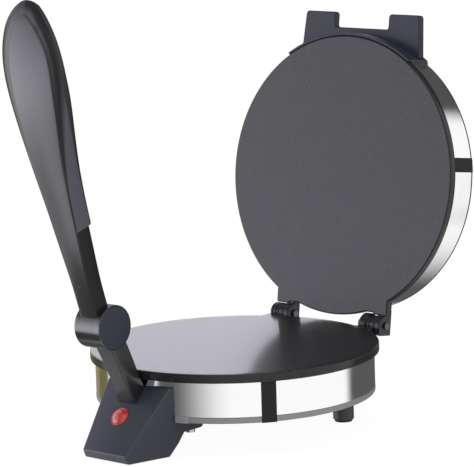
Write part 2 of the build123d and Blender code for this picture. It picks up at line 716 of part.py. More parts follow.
def heater_leads():
    """Two insulated leads from the heater's ends, through the band's window, to the clamps."""
    leads = []
    heater_y = -sqrt(HEATER_R**2 - HEATER_GAP_HALF**2)
    start_z = UNDER - 0.2 - 19.5 - 4.1
    ways = terminal_ways()
    for side, end_x in ((-1, ways[0]), (1, ways[2])):
        x = side * HEATER_GAP_HALF
        turn_x = side * (TONGUE_HALF + 4.0)
        points = [
            (x, heater_y, start_z),
            (x, heater_y, start_z - 3.2),
            (turn_x, FRONT + 16.0, -29.0),
            (turn_x, FRONT - 1.5, -31.0),
            (turn_x, FRONT - 9.0, -46.0),
            (end_x, TERMINAL_Y[1] + 3.5, TERMINAL_LOW + 5.0),
            (end_x, TERMINAL_Y[1] + 0.1, TERMINAL_LOW + 4.5),
        ]
        path = FilletPolyline(*points, radius=2.0)
        start = Plane(origin=path @ 0, z_dir=path % 0)
        leads.append(sweep(start * Circle(1.0), path=path))
    return joined(leads)


# ---- post, its bracket and bolts


def on_post(distance, rearward):
    """Point (y, z) at a distance down the post's line and a distance behind it."""
    lean = radians(POST_LEAN)
    y = PIVOT_Y + distance * sin(lean) + rearward * cos(lean)
    z = PIVOT_Z - distance * cos(lean) + rearward * sin(lean)
    return y, z


def face_y(z):
    """Where the housing's sloping face is at a height."""
    return FACE_LOW_Y + (z - FACE_LOW_Z) / tan(FACE_SLOPE)


TONGUE_REAR_Y = -BAND_R - 1.0


def lever_post():
    neck = side_slab(
        [
            on_post(10.0, -POST_FRONT),
            on_post(90.0, -POST_FRONT),
            on_post(90.0, POST_REAR_LOW - 2),
            on_post(POST_TAPER_AT, POST_REAR_LOW),
            on_post(10.0, POST_REAR),
        ],
        -POST_HALF,
        POST_HALF,
    )
    foot_outline = [
        (-POST_HALF, POST_FOOT_Z + POST_FOOT_H),
        (POST_HALF, POST_FOOT_Z + POST_FOOT_H),
        (POST_FOOT_RIGHT, POST_FOOT_Z),
        (-POST_FOOT_LEFT, POST_FOOT_Z),
    ]
    foot = Pos(0, FRONT - 40, 0) * extrude(Plane.XZ * Polygon(*foot_outline, align=None), 60, dir=(0, 1, 0))
    before_wall = [
        (face_y(-30.0) - 0.1, -30.0),
        (face_y(5.0) - 0.1, 5.0),
        (FRONT - 80.0, 5.0),
        (FRONT - 80.0, -30.0),
    ]
    behind_front = [
        on_post(20.0, -POST_FRONT),
        on_post(90.0, -POST_FRONT),
        on_post(90.0, 40.0),
        on_post(20.0, 40.0),
    ]
    foot = foot & side_slab(before_wall, -20, 20) & side_slab(behind_front, -20, 20)
    post = neck + foot
    post -= block((-30, 30), (FRONT - 80, FRONT + 60), (-120, POST_FOOT_Z))
    post -= disc(PLATE_R + 0.4, -LIP_H - 0.4, 60)
    post -= disc(STRIP_OUT_R + 0.7, 0.2, 60)
    post -= disc(BAND_R + 0.5, -60, -LIP_H)
    eye = rod(EYE_R, -EYE_HALF, EYE_HALF, PIVOT_Y, PIVOT_Z)
    post = post - rod(WASHER_R + 0.3, -20, -EYE_HALF, PIVOT_Y, PIVOT_Z)
    post = post - rod(WASHER_R + 0.3, EYE_HALF, 20, PIVOT_Y, PIVOT_Z)
    tongue_y = (TONGUE_REAR_Y - TONGUE_T, TONGUE_REAR_Y)
    post = post + eye + block((-TONGUE_HALF, TONGUE_HALF), tongue_y, (TONGUE_LOW, POST_FOOT_Z + 6))
    post -= rod(PIVOT_PIN_R + RUN_FIT, -20, 20, PIVOT_Y, PIVOT_Z)
    for side in (-1, 1):
        hole = Pos(side * POST_BOLT_X, TONGUE_REAR_Y - 13, POST_BOLT_Z) * Rot(-90, 0, 0)
        post -= hole * Cylinder(BOLT_R + 0.1, 20, align=LOW)
    return post


def post_bracket():
    top = RING_LOW - FIT
    upright = block(
        (-BRACKET_HALF, BRACKET_HALF), (TONGUE_REAR_Y, TONGUE_REAR_Y + BRACKET_T), (TONGUE_LOW, top)
    )
    level = block((-BRACKET_HALF, BRACKET_HALF), (TONGUE_REAR_Y, BRACKET_END_Y), (top - BRACKET_T, top))
    bracket = upright + level
    for side in (-1, 1):
        hole = Pos(side * POST_BOLT_X, TONGUE_REAR_Y - 13, POST_BOLT_Z) * Rot(-90, 0, 0)
        bracket -= hole * Cylinder(BOLT_R + 0.1, 30, align=LOW)
        bracket -= disc(SCREW_R + FIT, top - 4, top + 1, side * BRACKET_SCREW_X, BRACKET_SCREW_Y)
    return bracket


def post_bolts():
    """Hexagon bolts from the front through tongue and bracket, with their nuts."""
    bolts = []
    head_y = TONGUE_REAR_Y - TONGUE_T
    for side in (-1, 1):
        place = Pos(side * POST_BOLT_X, 0, POST_BOLT_Z) * Rot(-90, 0, 0)
        head = place * Pos(0, 0, head_y - BOLT_HEAD_H) * hexagon(BOLT_HEAD_R, BOLT_HEAD_H)
        nut = place * Pos(0, 0, TONGUE_REAR_Y + BRACKET_T) * hexagon(BOLT_HEAD_R, BOLT_HEAD_H)
        length = TONGUE_T + BRACKET_T + BOLT_HEAD_H + 1.2
        shank = place * Pos(0, 0, head_y - 0.5) * Cylinder(BOLT_R, length, align=LOW)
        bolts.append(head + shank + nut)
    return joined(bolts)


def bracket_screws():
    low = RING_LOW - FIT - BRACKET_T - SCREW_HEAD_H
    return joined(
        [screw_up(side * BRACKET_SCREW_X, BRACKET_SCREW_Y, low, PAN_TOP + 3) for side in (-1, 1)]
    )


def pivot_washers():
    pieces = []
    for side in (-1, 1):
        low = side * EYE_HALF if side > 0 else -POST_HALF
        washer = rod(WASHER_R, low, low + WASHER_T, PIVOT_Y, PIVOT_Z)
        pieces.append(washer - rod(PIVOT_PIN_R + 0.1, -20, 20, PIVOT_Y, PIVOT_Z))
    return joined(pieces)


# ---- hinge pins


def hinge_pins():
    pins = []
    for (low, _), (_, ear_high) in hinge_spans():
        shank = rod(PIN_R, low + 0.4, ear_high + FIT + 0.5, HINGE_Y, HINGE_Z)
        head = rod(PIN_HEAD_R, ear_high + FIT, ear_high + FIT + PIN_HEAD_H, HINGE_Y, HINGE_Z)
        head = fillet(head.edges().sort_by(Axis.X)[-1], 1.0)
        pins.append(shank + head)
    return joined(pins)


# ---- lid, drawn closed


def upper_plate():
    plate = disc(PLATE_R, UPPER_FACE, UPPER_LIP_TOP)
    for side in (-1, 1):
        near, far = sorted((side * TAB_NEAR, side * TAB_FAR))
        plate += block((near, far), (PLATE_R - 40, TAB_END), (UPPER_FACE, UPPER_LIP_TOP))
    plate -= disc(PLATE_R - LIP_W, UPPER_BACK, UPPER_LIP_TOP + 1)
    plate = fillet(plate.faces().sort_by(Axis.Z)[0].edges(), LIP_ROUND)
    for _, (low, high) in hinge_spans():
        arm = block((low, high), (TAB_END - 14, HINGE_Y + EAR_R), (HINGE_Z, UPPER_LIP_TOP))
        arm -= disc(PLATE_R - LIP_W, UPPER_BACK, UPPER_LIP_TOP + 1)
        below_top = block((low, high), (HINGE_Y - 20, HINGE_Y + 20), (-20, UPPER_LIP_TOP))
        arm += rod(EAR_R, low, high, HINGE_Y, HINGE_Z) & below_top
        under_tab = block((low - 1, high + 1), (PLATE_R - 40, TAB_END), (-20, UPPER_FACE))
        plate += arm - under_tab
        plate -= rod(PIN_R + RUN_FIT, low - 1, high + 1, HINGE_Y, HINGE_Z)
    for angle in LONG_STUD_ANGLES:
        x, y = polar(LONG_STUD_PCD_R, angle)
        plate += disc(STUD_R, UPPER_BACK - 0.5, COVER_LOW - SEAT_GAP, x, y)
        plate -= disc(SCREW_R + SCREW_FIT, COVER_LOW - 12, COVER_LOW + 1, x, y)
    for angle in SHORT_STUD_ANGLES:
        x, y = polar(SHORT_STUD_PCD_R, angle)
        plate += disc(STUD_R, UPPER_BACK - 0.5, UPPER_SHIELD_LOW - SEAT_GAP, x, y)
        plate -= disc(SCREW_R + SCREW_FIT, UPPER_BACK + 1, UPPER_SHIELD_LOW + 1, x, y)
    return plate


def lid_band():
    band = ring(BAND_R, BAND_R - BAND_T, LID_BAND_LOW, COVER_LOW - SEAT_GAP)
    for angle, z in fork_screw_places():
        place = Rot(0, 0, angle) * Pos(BAND_R, 0, z) * Rot(0, 90, 0)
        band -= place * Cylinder(SCREW_R + SCREW_FIT, 10)
    bush_z = (LID_BAND_LOW + COVER_LOW) / 2
    return band - Pos(0, BAND_R, bush_z) * Rot(90, 0, 0) * Cylinder(BUSH_R, 10)


def lid_cover():
    """Domed cover with a turned-down rim and a ledge for the screws."""
    dome_r = (BAND_R**2 + COVER_RISE**2) / (2 * COVER_RISE)
    outer = Pos(0, 0, LID_TOP + COVER_RISE - dome_r) * Sphere(dome_r)
    inner = Pos(0, 0, LID_TOP + COVER_RISE - dome_r - COVER_T) * Sphere(dome_r)
    cover = (outer & disc(BAND_R, LID_TOP, LID_TOP + 20)) - inner
    cover += ring(BAND_R, BAND_R - 2.0, COVER_LOW, LID_TOP + 0.2)
    for angle in LONG_STUD_ANGLES:
        x, y = polar(LONG_STUD_PCD_R, angle)
        cover += disc(STUD_R, COVER_LOW, LID_TOP + 1.0, x, y) - inner_top(x, y)
        cover -= disc(SCREW_R + FIT, COVER_LOW - 1, LID_TOP + 9, x, y)
        cover -= disc(SCREW_HEAD_R + FIT, LID_TOP - 0.2, LID_TOP + 9, x, y)
    return cover


def inner_top(x, y):
    """Nothing above the dome is kept of a screw boss."""
    dome_r = (BAND_R**2 + COVER_RISE**2) / (2 * COVER_RISE)
    dome = Pos(0, 0, LID_TOP + COVER_RISE - dome_r) * Sphere(dome_r)
    return disc(STUD_R + 1, LID_TOP, LID_TOP + 9, x, y) - dome


def cover_bolts():
    head_top = LID_TOP + SCREW_HEAD_H - 0.6
    return joined(
        [
            screw_down(*polar(LONG_STUD_PCD_R, angle), head_top, COVER_LOW - 10, head_h=SCREW_HEAD_H - 0.6)
            for angle in LONG_STUD_ANGLES
        ]
    )


def lid_clip():
    inner = BAND_R + 0.05
    return arc_strip(inner + CLIP_T, inner, LID_BAND_LOW, LID_TOP, LID_CLIP_ANGLE, CLIP_HALF_ANGLE)


def fork_screw_places():
    """Angles and heights of the screws that hold the fork's strip to the band."""
    return [(-90.0 + turn, height) for turn in (-25.0, -9.0, 9.0, 25.0) for height in (13.0,)]


def lid_fork():
    inner = BAND_R + 0.1
    outline = [
        (inner, UPPER_LIP_TOP + FIT),
        (PLATE_R + FIT, UPPER_LIP_TOP + FIT),
        (PLATE_R + FIT, STRIP_LOW),
        (STRIP_OUT_R, STRIP_LOW),
        (STRIP_OUT_R, STRIP_HIGH - STRIP_CHAMFER),
        (STRIP_OUT_R - STRIP_CHAMFER, STRIP_HIGH),
        (inner, STRIP_HIGH),
    ]
    profile = Plane.XZ * Polygon(*outline, align=None)
    fork = Rot(0, 0, -90 - STRIP_HALF_ANGLE) * revolve(profile, Axis.Z, 2 * STRIP_HALF_ANGLE)
    ears = plan_slab(
        [
            (-EAR_TIP_HALF, EAR_TIP_Y),
            (-EAR_IN, EAR_TIP_Y),
            (-EAR_IN, BRIDGE_Y),
            (EAR_IN, BRIDGE_Y),
            (EAR_IN, EAR_TIP_Y),
            (EAR_TIP_HALF, EAR_TIP_Y),
            (EAR_ROOT_HALF, FRONT + 16.0),
            (-EAR_ROOT_HALF, FRONT + 16.0),
        ],
        EAR_LOW,
        EAR_LOW + EAR_T,
    )
    tips = ears.edges().filter_by(Axis.Z).group_by(Axis.Y)[0]
    ears = fillet(tips, EAR_ROUND)
    fork += ears - disc(inner, 0, 60)
    for angle, z in fork_screw_places():
        place = Rot(0, 0, angle) * Pos(inner - 1, 0, z) * Rot(0, 90, 0)
        fork -= place * Cylinder(SCREW_R + SCREW_FIT, 5.6, align=LOW)
    return fork


def fork_screws():
    """Screws from inside the band into the fork's strip."""
    screws = []
    for angle, z in fork_screw_places():
        head_r = BAND_R - BAND_T - SCREW_HEAD_H
        place = Rot(0, 0, angle) * Pos(head_r, 0, z) * Rot(0, 90, 0)
        screw = place * Cylinder(SCREW_HEAD_R, SCREW_HEAD_H - SEAT_GAP, align=LOW)
        screw += place * Pos(0, 0, 1) * Cylinder(SCREW_R, 5.8, align=LOW)
        screws.append(screw)
    return joined(screws)


def cable_bush(z):
    """Bush at the back of a band, for the lead between base and lid."""
    place = Pos(0, BAND_R - BAND_T - 3.0, z) * Rot(-90, 0, 0)
    bush = place * Cylinder(BUSH_R - 0.05, 5.6, align=LOW)
    bush += place * Pos(0, 0, 1.0) * Cylinder(BUSH_R + 1.6, 1.7, align=LOW)
    bush += place * Pos(0, 0, 4.0) * Cylinder(BUSH_R + 1.4, 1.6, align=LOW)
    return bush - place * Pos(0, 0, -2) * Cylinder(BUSH_BORE_R, 12, align=LOW)


# ---- lever, drawn upright with its pivot at the origin


def paddle_outline():
    """Face of the lever seen from the front: (x, distance from the pivot)."""
    middle = [
        (SHANK_HALF, 30.0),
        (11.8, 73.0),
        (14.8, 110.0),
        (22.0, PADDLE_AT - 58.0),
        (PADDLE_HALF, PADDLE_AT),
        (22.0, LEVER_TIP - 16.6),
        (0.0, LEVER_TIP),
    ]
    right = Spline(*middle, tangents=((0, 1), (-1, 0)))
    left = mirror(right, Plane.YZ)
    foot = Polyline((-SHANK_HALF, 30.0), (-SHANK_HALF, 0.0), (SHANK_HALF, 0.0), (SHANK_HALF, 30.0))
    return Plane.XZ * make_face(right + left + foot)


def pocket_outline():
    """Hollow inside the grip's shell, one wall inside the paddle's outline."""
    right = Spline(
        (13.2 - SHELL, PAD_START + 8.0),
        (14.8 - SHELL, 110.0),
        (22.0 - SHELL, PADDLE_AT - 58.0),
        (PADDLE_HALF - SHELL, PADDLE_AT),
        (PADDLE_HALF - SHELL - 3.0, PADDLE_AT + 22.0),
    )
    left = mirror(right, Plane.YZ)
    ends = Line(right @ 0, left @ 0) + Line(right @ 1, left @ 1)
    return Plane.XZ * make_face(right + left + ends)


def lever_side(back):
    """Side view of the lever: (-forward, distance) with the inner face at a distance back."""
    bend = TangentArc((-ARM_FRONT, BEND_START), (NOSE_BACK, NOSE_S), tangent=(0, 1))
    nose = TangentArc(bend @ 1, (TIP_BACK, LEVER_TIP), tangent=bend % 1)
    tip = Line(nose @ 1, TIP_REAR)
    under = TangentArc((back, PADDLE_AT - 10), TIP_REAR, tangent=(0, 1))
    rest = Polyline((back, PADDLE_AT - 10), (back, 0.0), (-ARM_FRONT, 0.0), (-ARM_FRONT, BEND_START))
    face = make_face(bend + nose + tip + under + rest)
    return extrude(Plane.YZ.offset(-60) * face, 120, dir=(1, 0, 0))


def carried_through(outline):
    """Outline on the XZ plane, carried both ways along Y."""
    return Pos(0, -60, 0) * extrude(outline, 120, dir=(0, 1, 0))


def lever_plan():
    return carried_through(paddle_outline())


def lever_edge(back, start):
    """Line and arc down the lever's side view: straight to a height, then back to the tip."""
    arc = TangentArc((back, start), TIP_REAR, tangent=(0, 1))
    return Line((back, 0.0), (back, start)) + arc


def behind(back, start):
    """Space behind such an edge, from the pad's lower end up."""
    frame = Polyline((back, 0.0), (60, 0.0), (60, TIP_REAR[1]), TIP_REAR)
    space = extrude(Plane.YZ.offset(-60) * make_face(lever_edge(back, start) + frame), 120, dir=(1, 0, 0))
    return space & block((-60, 60), (-60, 60), (PAD_START, LEVER_TIP))


def slot_in_drum():
    """Room for the post inside the drum over the whole swing, at the lever's rest angle."""
    lean = radians(POST_LEAN)
    swing = radians(LEVER_SWING)
    down = (sin(lean), -cos(lean))
    far = (cos(swing) * down[0] - sin(swing) * down[1], sin(swing) * down[0] + cos(swing) * down[1])
    front = POST_FRONT + FIT
    rear = POST_REAR + FIT
    start = (-cos(lean) * front, -sin(lean) * front)
    finish = (-far[1] * rear, far[0] * rear)
    reach = 32.0
    outline = [
        start,
        (start[0] + reach * down[0], start[1] + reach * down[1]),
        (50.0, -24.0),
        (50.0, 30.0),
        (finish[0] + reach * far[0], finish[1] + reach * far[1]),
        finish,
    ]
    wedge = side_slab(outline, -CHEEK, CHEEK)
    return Rot(-LEVER_LEAN, 0, 0) * wedge


def lever_arm():
    arm = lever_plan() & lever_side(PAD_BACK)
    arm -= block((-60, 60), (ARM_BACK, 60), (-5, PAD_START + 1))
    arm -= behind(PARTING, PARTING_BEND)
    arm -= disc_x(DRUM_R - 1.0, DRUM_HALF + 10)
    drum = disc_x(DRUM_R, DRUM_HALF)
    drum = fillet(drum.edges().filter_by(GeomType.CIRCLE), 0.8)
    arm = arm + drum
    arm -= disc_x(DRUM_R - DRUM_WALL, CHEEK)
    arm -= slot_in_drum()
    arm -= disc_x(PIVOT_PIN_R + 0.02, DRUM_HALF + 1)
    for side in (-1, 1):
        low, high = sorted((side * (DRUM_HALF - CAP_T), side * (DRUM_HALF + 1)))
        arm -= rod(CAP_R + 0.1, low, high, 0, 0)
    arm -= carried_through(pocket_outline()) & Pos(0, SHELL, 0) * lever_side(PAD_BACK)
    for s in GRIP_SCREWS_AT:
        arm += grip_post(s, 4.2, outer_surface(s) + 1.5, parting_surface(s - 4.2))
        arm -= grip_post(s, SCREW_R + SCREW_FIT, outer_surface(s) + 2.6, 30)
    return arm


def grip_post(s, radius, front, back):
    """Cylinder along Y at a distance s up the lever."""
    return Pos(0, front, s) * Rot(-90, 0, 0) * Cylinder(radius, back - front, align=LOW)


def disc_x(radius, half):
    return rod(radius, -half, half, 0, 0)


def grip_pad():
    pad = (lever_plan() & lever_side(PAD_BACK)) & behind(PARTING + SEAT_GAP, PARTING_BEND)
    pad -= block((-60, 60), (-60, 60), (LEVER_TIP - 10.0, LEVER_TIP))
    for s in GRIP_SCREWS_AT:
        pad -= grip_post(s, SCREW_R + FIT, -5, 30)
        pad -= grip_post(s, SCREW_HEAD_R + FIT, pad_surface(s) - 2.4, 30)
    return pad


def on_edge(start, end, s):
    """How far back an edge is at a distance up the lever: straight to start, then an arc to end."""
    if s <= start[1]:
        return start[0]
    rise = end[0] - start[0]
    run = end[1] - start[1]
    curve = (rise**2 + run**2) / (2 * rise)
    return start[0] + curve - sqrt(curve**2 - (s - start[1]) ** 2)


def outer_surface(s):
    return on_edge((-ARM_FRONT, BEND_START), (NOSE_BACK, NOSE_S), s)


def parting_surface(s):
    return on_edge((PARTING, PARTING_BEND), TIP_REAR, s)


def pad_surface(s):
    return on_edge((PAD_BACK, PADDLE_AT - 10.0), TIP_REAR, s)


def grip_screws():
    screws = []
    for s in GRIP_SCREWS_AT:
        head = pad_surface(s) - 2.2
        shank = grip_post(s, SCREW_R, outer_surface(s) + 3.0, head + 0.5)
        screws.append(grip_post(s, SCREW_HEAD_R, head, head + 1.8) + shank)
    return joined(screws)


def pivot_pin():
    return disc_x(PIVOT_PIN_R, DRUM_HALF - CAP_T - 0.2)


def pivot_caps():
    caps = []
    for side in (-1, 1):
        low, high = sorted((side * (DRUM_HALF - CAP_T + 0.1), side * DRUM_HALF))
        cap = rod(CAP_R, low, high, 0, 0)
        outer = cap.faces().sort_by(Axis.X)[-1 if side > 0 else 0]
        caps.append(fillet(outer.edges(), 0.5))
    return joined(caps)


BUSH_BASE_Z = (BAND_LOW + BAND_TOP) / 2
BUSH_LID_Z = (LID_BAND_LOW + COVER_LOW) / 2


def upper_heater():
    """The same heater, turned over and laid on the upper plate."""
    return Pos(0, 0, UPPER_BACK + 0.2) * mirror(heater(17.0), Plane.XY)


def upper_shield():
    return mirror(heat_shield(-UPPER_SHIELD_LOW), Plane.XY)


def upper_shield_screws():
    return mirror(shield_screws(-UPPER_SHIELD_LOW), Plane.XY)


nodes = {
    "lower_plate": lower_plate(),
    "lower_heater": Pos(0, 0, UNDER - 0.2) * heater(19.5),
    "lower_heat_shield": heat_shield(SHIELD_TOP),
    "lower_shield_screws": shield_screws(SHIELD_TOP),
    "thermostat": thermostat(),
    "thermal_fuse": thermal_fuse(),
    "base_band": base_band(),
    "base_ring": base_ring(),
    "base_pan": base_pan(),
    "pan_screws": pan_screws(),
    "rear_feet": rear_feet(),
    "foot_pads": foot_pads(),
    "foot_screws": foot_screws(),
    "base_clip": base_clip(),
    "rim_clips": rim_clips(),
    "front_housing": front_housing(),
    "housing_cover": housing_cover(),
    "cover_screws": cover_screws(),
    "front_pads": front_pads(),
    "housing_screws": housing_screws(),
    "indicator_lens": indicator_lens(),
    "indicator_lamp": indicator_lamp(),
    "cord_grommet": cord_grommet(),
    "terminal_block": terminal_block(),
    "terminal_clamps": terminal_clamps(),
    "heater_leads": heater_leads(),
    "base_cable_bush": cable_bush(BUSH_BASE_Z),
    "lever_post": lever_post(),
    "post_bracket": post_bracket(),
    "post_bolts": post_bolts(),
    "bracket_screws": bracket_screws(),
    "pivot_washers": pivot_washers(),
    "hinge_pins": hinge_pins(),
    "upper_plate": opened(upper_plate()),
    "upper_heater": opened(upper_heater()),
    "upper_heat_shield": opened(upper_shield()),
    "upper_shield_screws": opened(upper_shield_screws()),
    "lid_band": opened(lid_band()),
    "lid_cover": opened(lid_cover()),
    "lid_cover_screws": opened(cover_bolts()),
    "lid_clip": opened(lid_clip()),
    "lid_fork": opened(lid_fork()),
    "fork_screws": opened(fork_screws()),
    "lid_cable_bush": opened(cable_bush(BUSH_LID_Z)),
    "lever_arm": leaned(lever_arm()),
    "grip_pad": leaned(grip_pad()),
    "grip_screws": leaned(grip_screws()),
    "pivot_pin": leaned(pivot_pin()),
    "pivot_caps": leaned(pivot_caps()),
}

os.makedirs("parts", exist_ok=True)
for name, shape in nodes.items():
    export_step(shape, f"parts/{name}.step")
print(len(nodes), "nodes written")
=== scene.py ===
import json
from math import cos, pi, radians, sin
import bmesh
import bpy
import numpy as np
from mathutils import Matrix, Vector


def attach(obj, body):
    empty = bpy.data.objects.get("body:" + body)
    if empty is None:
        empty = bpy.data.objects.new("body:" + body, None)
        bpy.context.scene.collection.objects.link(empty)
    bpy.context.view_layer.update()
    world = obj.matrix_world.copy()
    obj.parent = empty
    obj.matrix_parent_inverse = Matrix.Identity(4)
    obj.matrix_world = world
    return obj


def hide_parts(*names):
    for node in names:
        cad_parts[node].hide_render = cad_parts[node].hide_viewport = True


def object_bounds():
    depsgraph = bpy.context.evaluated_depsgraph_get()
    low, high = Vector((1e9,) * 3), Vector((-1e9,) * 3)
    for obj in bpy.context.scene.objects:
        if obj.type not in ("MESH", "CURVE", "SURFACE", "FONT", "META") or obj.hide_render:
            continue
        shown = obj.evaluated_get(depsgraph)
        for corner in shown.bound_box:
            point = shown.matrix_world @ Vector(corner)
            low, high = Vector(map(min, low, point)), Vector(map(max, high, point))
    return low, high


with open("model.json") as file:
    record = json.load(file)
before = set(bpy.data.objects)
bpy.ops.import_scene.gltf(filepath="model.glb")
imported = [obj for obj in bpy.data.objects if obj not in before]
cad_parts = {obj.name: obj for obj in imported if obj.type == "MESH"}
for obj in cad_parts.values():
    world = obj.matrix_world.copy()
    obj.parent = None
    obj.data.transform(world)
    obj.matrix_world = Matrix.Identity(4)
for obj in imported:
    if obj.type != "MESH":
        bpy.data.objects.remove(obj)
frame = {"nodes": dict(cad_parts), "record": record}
cadBox = [list(corner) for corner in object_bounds()]
mm = 0.001
print("frame loaded,", len(frame["nodes"]), "nodes")


def addObject(name, data):
    thing = bpy.data.objects.new(name, data)
    bpy.context.scene.collection.objects.link(thing)
    return thing


# camera: fitted to the photograph, distances in mm, origin at the middle of the cooking face

camera = {"azimuth": 41.876, "elevation": 9.547, "roll": -1.760, "lens": 212.04,
          "distance": 2318.97, "right": 2.068, "up": 91.298}


def makeCamera(user):
    turn, tilt, roll = (radians(user[key]) for key in ("azimuth", "elevation", "roll"))
    back = np.array([sin(turn) * cos(tilt), -cos(turn) * cos(tilt), sin(tilt)])
    level = np.array([cos(turn), sin(turn), 0.0])
    above = np.cross(back, level)
    across = cos(roll) * level + sin(roll) * above
    upward = cos(roll) * above - sin(roll) * level
    place = (user["right"] * across + user["up"] * upward + user["distance"] * back) * mm
    lens = bpy.data.cameras.new("camera")
    lens.lens, lens.sensor_width = user["lens"], 36.0
    lens.clip_start, lens.clip_end = 0.05, 60.0
    eye = addObject("camera", lens)
    turned = Matrix(np.column_stack([across, upward, back]).tolist()).to_4x4()
    eye.matrix_world = Matrix.Translation(place.tolist()) @ turned
    bpy.context.scene.camera = eye


makeCamera(camera)
print("camera placed")


# shader maths

class Value:
    # one shader socket; the operators below add Math nodes to its material
    def __init__(self, finish, socket):
        self.finish, self.socket = finish, socket

    def other(self, name):
        return Value(self.finish, self.socket.node.outputs[name])

    def work(self, operation, *terms):
        return self.finish.add("ShaderNodeMath", {"operation": operation}, dict(enumerate(terms)))

    def __add__(self, term): return self.work("ADD", self, term)
    def __radd__(self, term): return self.work("ADD", term, self)
    def __sub__(self, term): return self.work("SUBTRACT", self, term)
    def __rsub__(self, term): return self.work("SUBTRACT", term, self)
    def __mul__(self, term): return self.work("MULTIPLY", self, term)
    def __rmul__(self, term): return self.work("MULTIPLY", term, self)
    def __neg__(self): return self.work("MULTIPLY", self, -1.0)

    def step(self, low, high):  # 0 below low, 1 above high, smooth between
        return self.finish.add("ShaderNodeMapRange", {"interpolation_type": "SMOOTHSTEP"},
                               {"Value": self, "From Min": low, "From Max": high})


class Finish:
    # a node tree: a material's, or the world's
    def __init__(self, tree):
        self.tree = tree
        tree.nodes.clear()

    def add(self, kind, settings=None, inputs=None, output=0):
        # any node: its settings first, then the values or links of its sockets
        node = self.tree.nodes.new(kind)
        for name, setting in (settings or {}).items():
            setattr(node, name, setting)
        for name, given in (inputs or {}).items():
            socket = node.inputs[name]
            if isinstance(given, Value):
                self.tree.links.new(given.socket, socket)
            else:
                socket.default_value = given
        return Value(self, node.outputs[output]) if len(node.outputs) else None

    def place(self, scale=(1.0, 1.0, 1.0)):
        # object coordinates, in metres, scaled
        where = self.add("ShaderNodeTexCoord", output="Object")
        return self.add("ShaderNodeMapping", {"vector_type": "TEXTURE"},
                        {"Vector": where, "Scale": tuple(1.0 / part for part in scale)})

    def axis(self, where, name):
        return self.add("ShaderNodeSeparateXYZ", None, {"Vector": where}, name)

    def noise(self, where, size, detail=2.0, rough=0.5):
        # grain about 'size' mm across
        return self.add("ShaderNodeTexNoise", None,
                        {"Vector": where, "Scale": 1.0 / (size * mm), "Detail": detail,
                         "Roughness": rough}, "Fac")

    def vector(self, operation, *terms, output=0):
        return self.add("ShaderNodeVectorMath", {"operation": operation}, dict(enumerate(terms)), output)

    def mix(self, share, first, second):
        return self.add("ShaderNodeMix", {"data_type": "RGBA"}, {"Factor": share, 6: first, 7: second}, 2)

    def bump(self, height, depth):
        # depth in mm
        return self.add("ShaderNodeBump", None,
                        {"Height": height, "Distance": depth * mm, "Strength": 1.0})

    def show(self, shader, kind="ShaderNodeOutputMaterial"):
        self.add(kind, None, {"Surface": shader})


def surface(name, constants):
    # a material with one Principled shader; constants go straight on its sockets
    material = bpy.data.materials.new(name)
    material.use_nodes = True
    finish = Finish(material.node_tree)
    shader = finish.add("ShaderNodeBsdfPrincipled", None, constants)
    finish.show(shader)
    finish.shader = shader.socket.node
    finish.material = material
    return finish


def drive(finish, **sockets):
    # links worked-out values to the Principled shader, such as baseColor=...
    names = {"baseColor": "Base Color", "roughness": "Roughness", "coat": "Coat Weight",
             "glow": "Emission Color", "normal": "Normal"}
    for key, given in sockets.items():
        finish.tree.links.new(given.socket, finish.shader.inputs[names[key]])
    return finish.material


def grey(red, green=None, blue=None):
    # a colour from one level or from three
    return (red, red if green is None else green, red if blue is None else blue, 1.0)


def plateCoating():
    # black non-stick coating: fine pebbled grain, a little lighter where it is worn
    finish = surface("plateCoating", {"Coat Weight": 0.75, "Coat Roughness": 0.14, "Coat IOR": 1.4,
                                      "IOR": 1.25})
    where = finish.place()
    grain = finish.noise(where, 1.5, 3.0, 0.65)
    cloud = finish.noise(where, 26.0, 3.0, 0.55)
    tone = finish.mix(grain.step(0.35, 0.7), grey(0.004, 0.004, 0.005), grey(0.026, 0.025, 0.031))
    tone = finish.mix(cloud.step(0.45, 0.75) * 0.35, tone, grey(0.024, 0.023, 0.023))
    return drive(finish, baseColor=tone, roughness=0.34 + 0.12 * grain,
                 normal=finish.bump(grain, 0.12))


def brightBand():
    # polished strip: faint rolling lines along it and a trace of haze
    finish = surface("brightBand", {"Metallic": 1.0, "Base Color": grey(0.92, 0.92, 0.93)})
    lines = finish.noise(finish.place((0.02, 0.02, 1.6)), 1.0, 2.0)
    haze = finish.noise(finish.place(), 18.0, 3.0)
    return drive(finish, roughness=0.07 + 0.07 * haze.step(0.4, 0.8) + 0.03 * lines,
                 normal=finish.bump(lines, 0.004))


def grained(name, constants, dark, light, size, roughness, spread, depth, scale=(1.0, 1.0, 1.0)):
    # one fine noise drives the tone, the roughness and the relief
    finish = surface(name, constants)
    grain = finish.noise(finish.place(scale), size, 3.0)
    return drive(finish, baseColor=finish.mix(grain, dark, light),
                 roughness=roughness + spread * grain, normal=finish.bump(grain, depth))


def brightMetal(name, colour, roughness, grainSize=0.5):
    light = tuple(min(1.0, 1.15 * part) for part in colour[:3]) + (1.0,)
    return grained(name, {"Metallic": 1.0}, colour, light, grainSize, roughness, 0.12, 0.01)


def plasticTone(finish, grainSize, dark, light):
    # fine spark-eroded grain, with a slow change of tone
    where = finish.place()
    grain = finish.noise(where, grainSize, 3.0, 0.6)
    slow = finish.noise(where, 40.0, 2.0)
    return where, grain, finish.mix(0.35 * grain + 0.5 * slow, dark, light)


def mouldedPlastic(name, dark, light, roughness, coat, grainSize=0.45, body=1.5):
    finish = surface(name, {"Coat Weight": coat, "Coat Roughness": 0.2, "IOR": body, "Coat IOR": 1.5})
    _, grain, tone = plasticTone(finish, grainSize, dark, light)
    return drive(finish, baseColor=tone, roughness=roughness + 0.14 * grain,
                 normal=finish.bump(grain, 0.02))


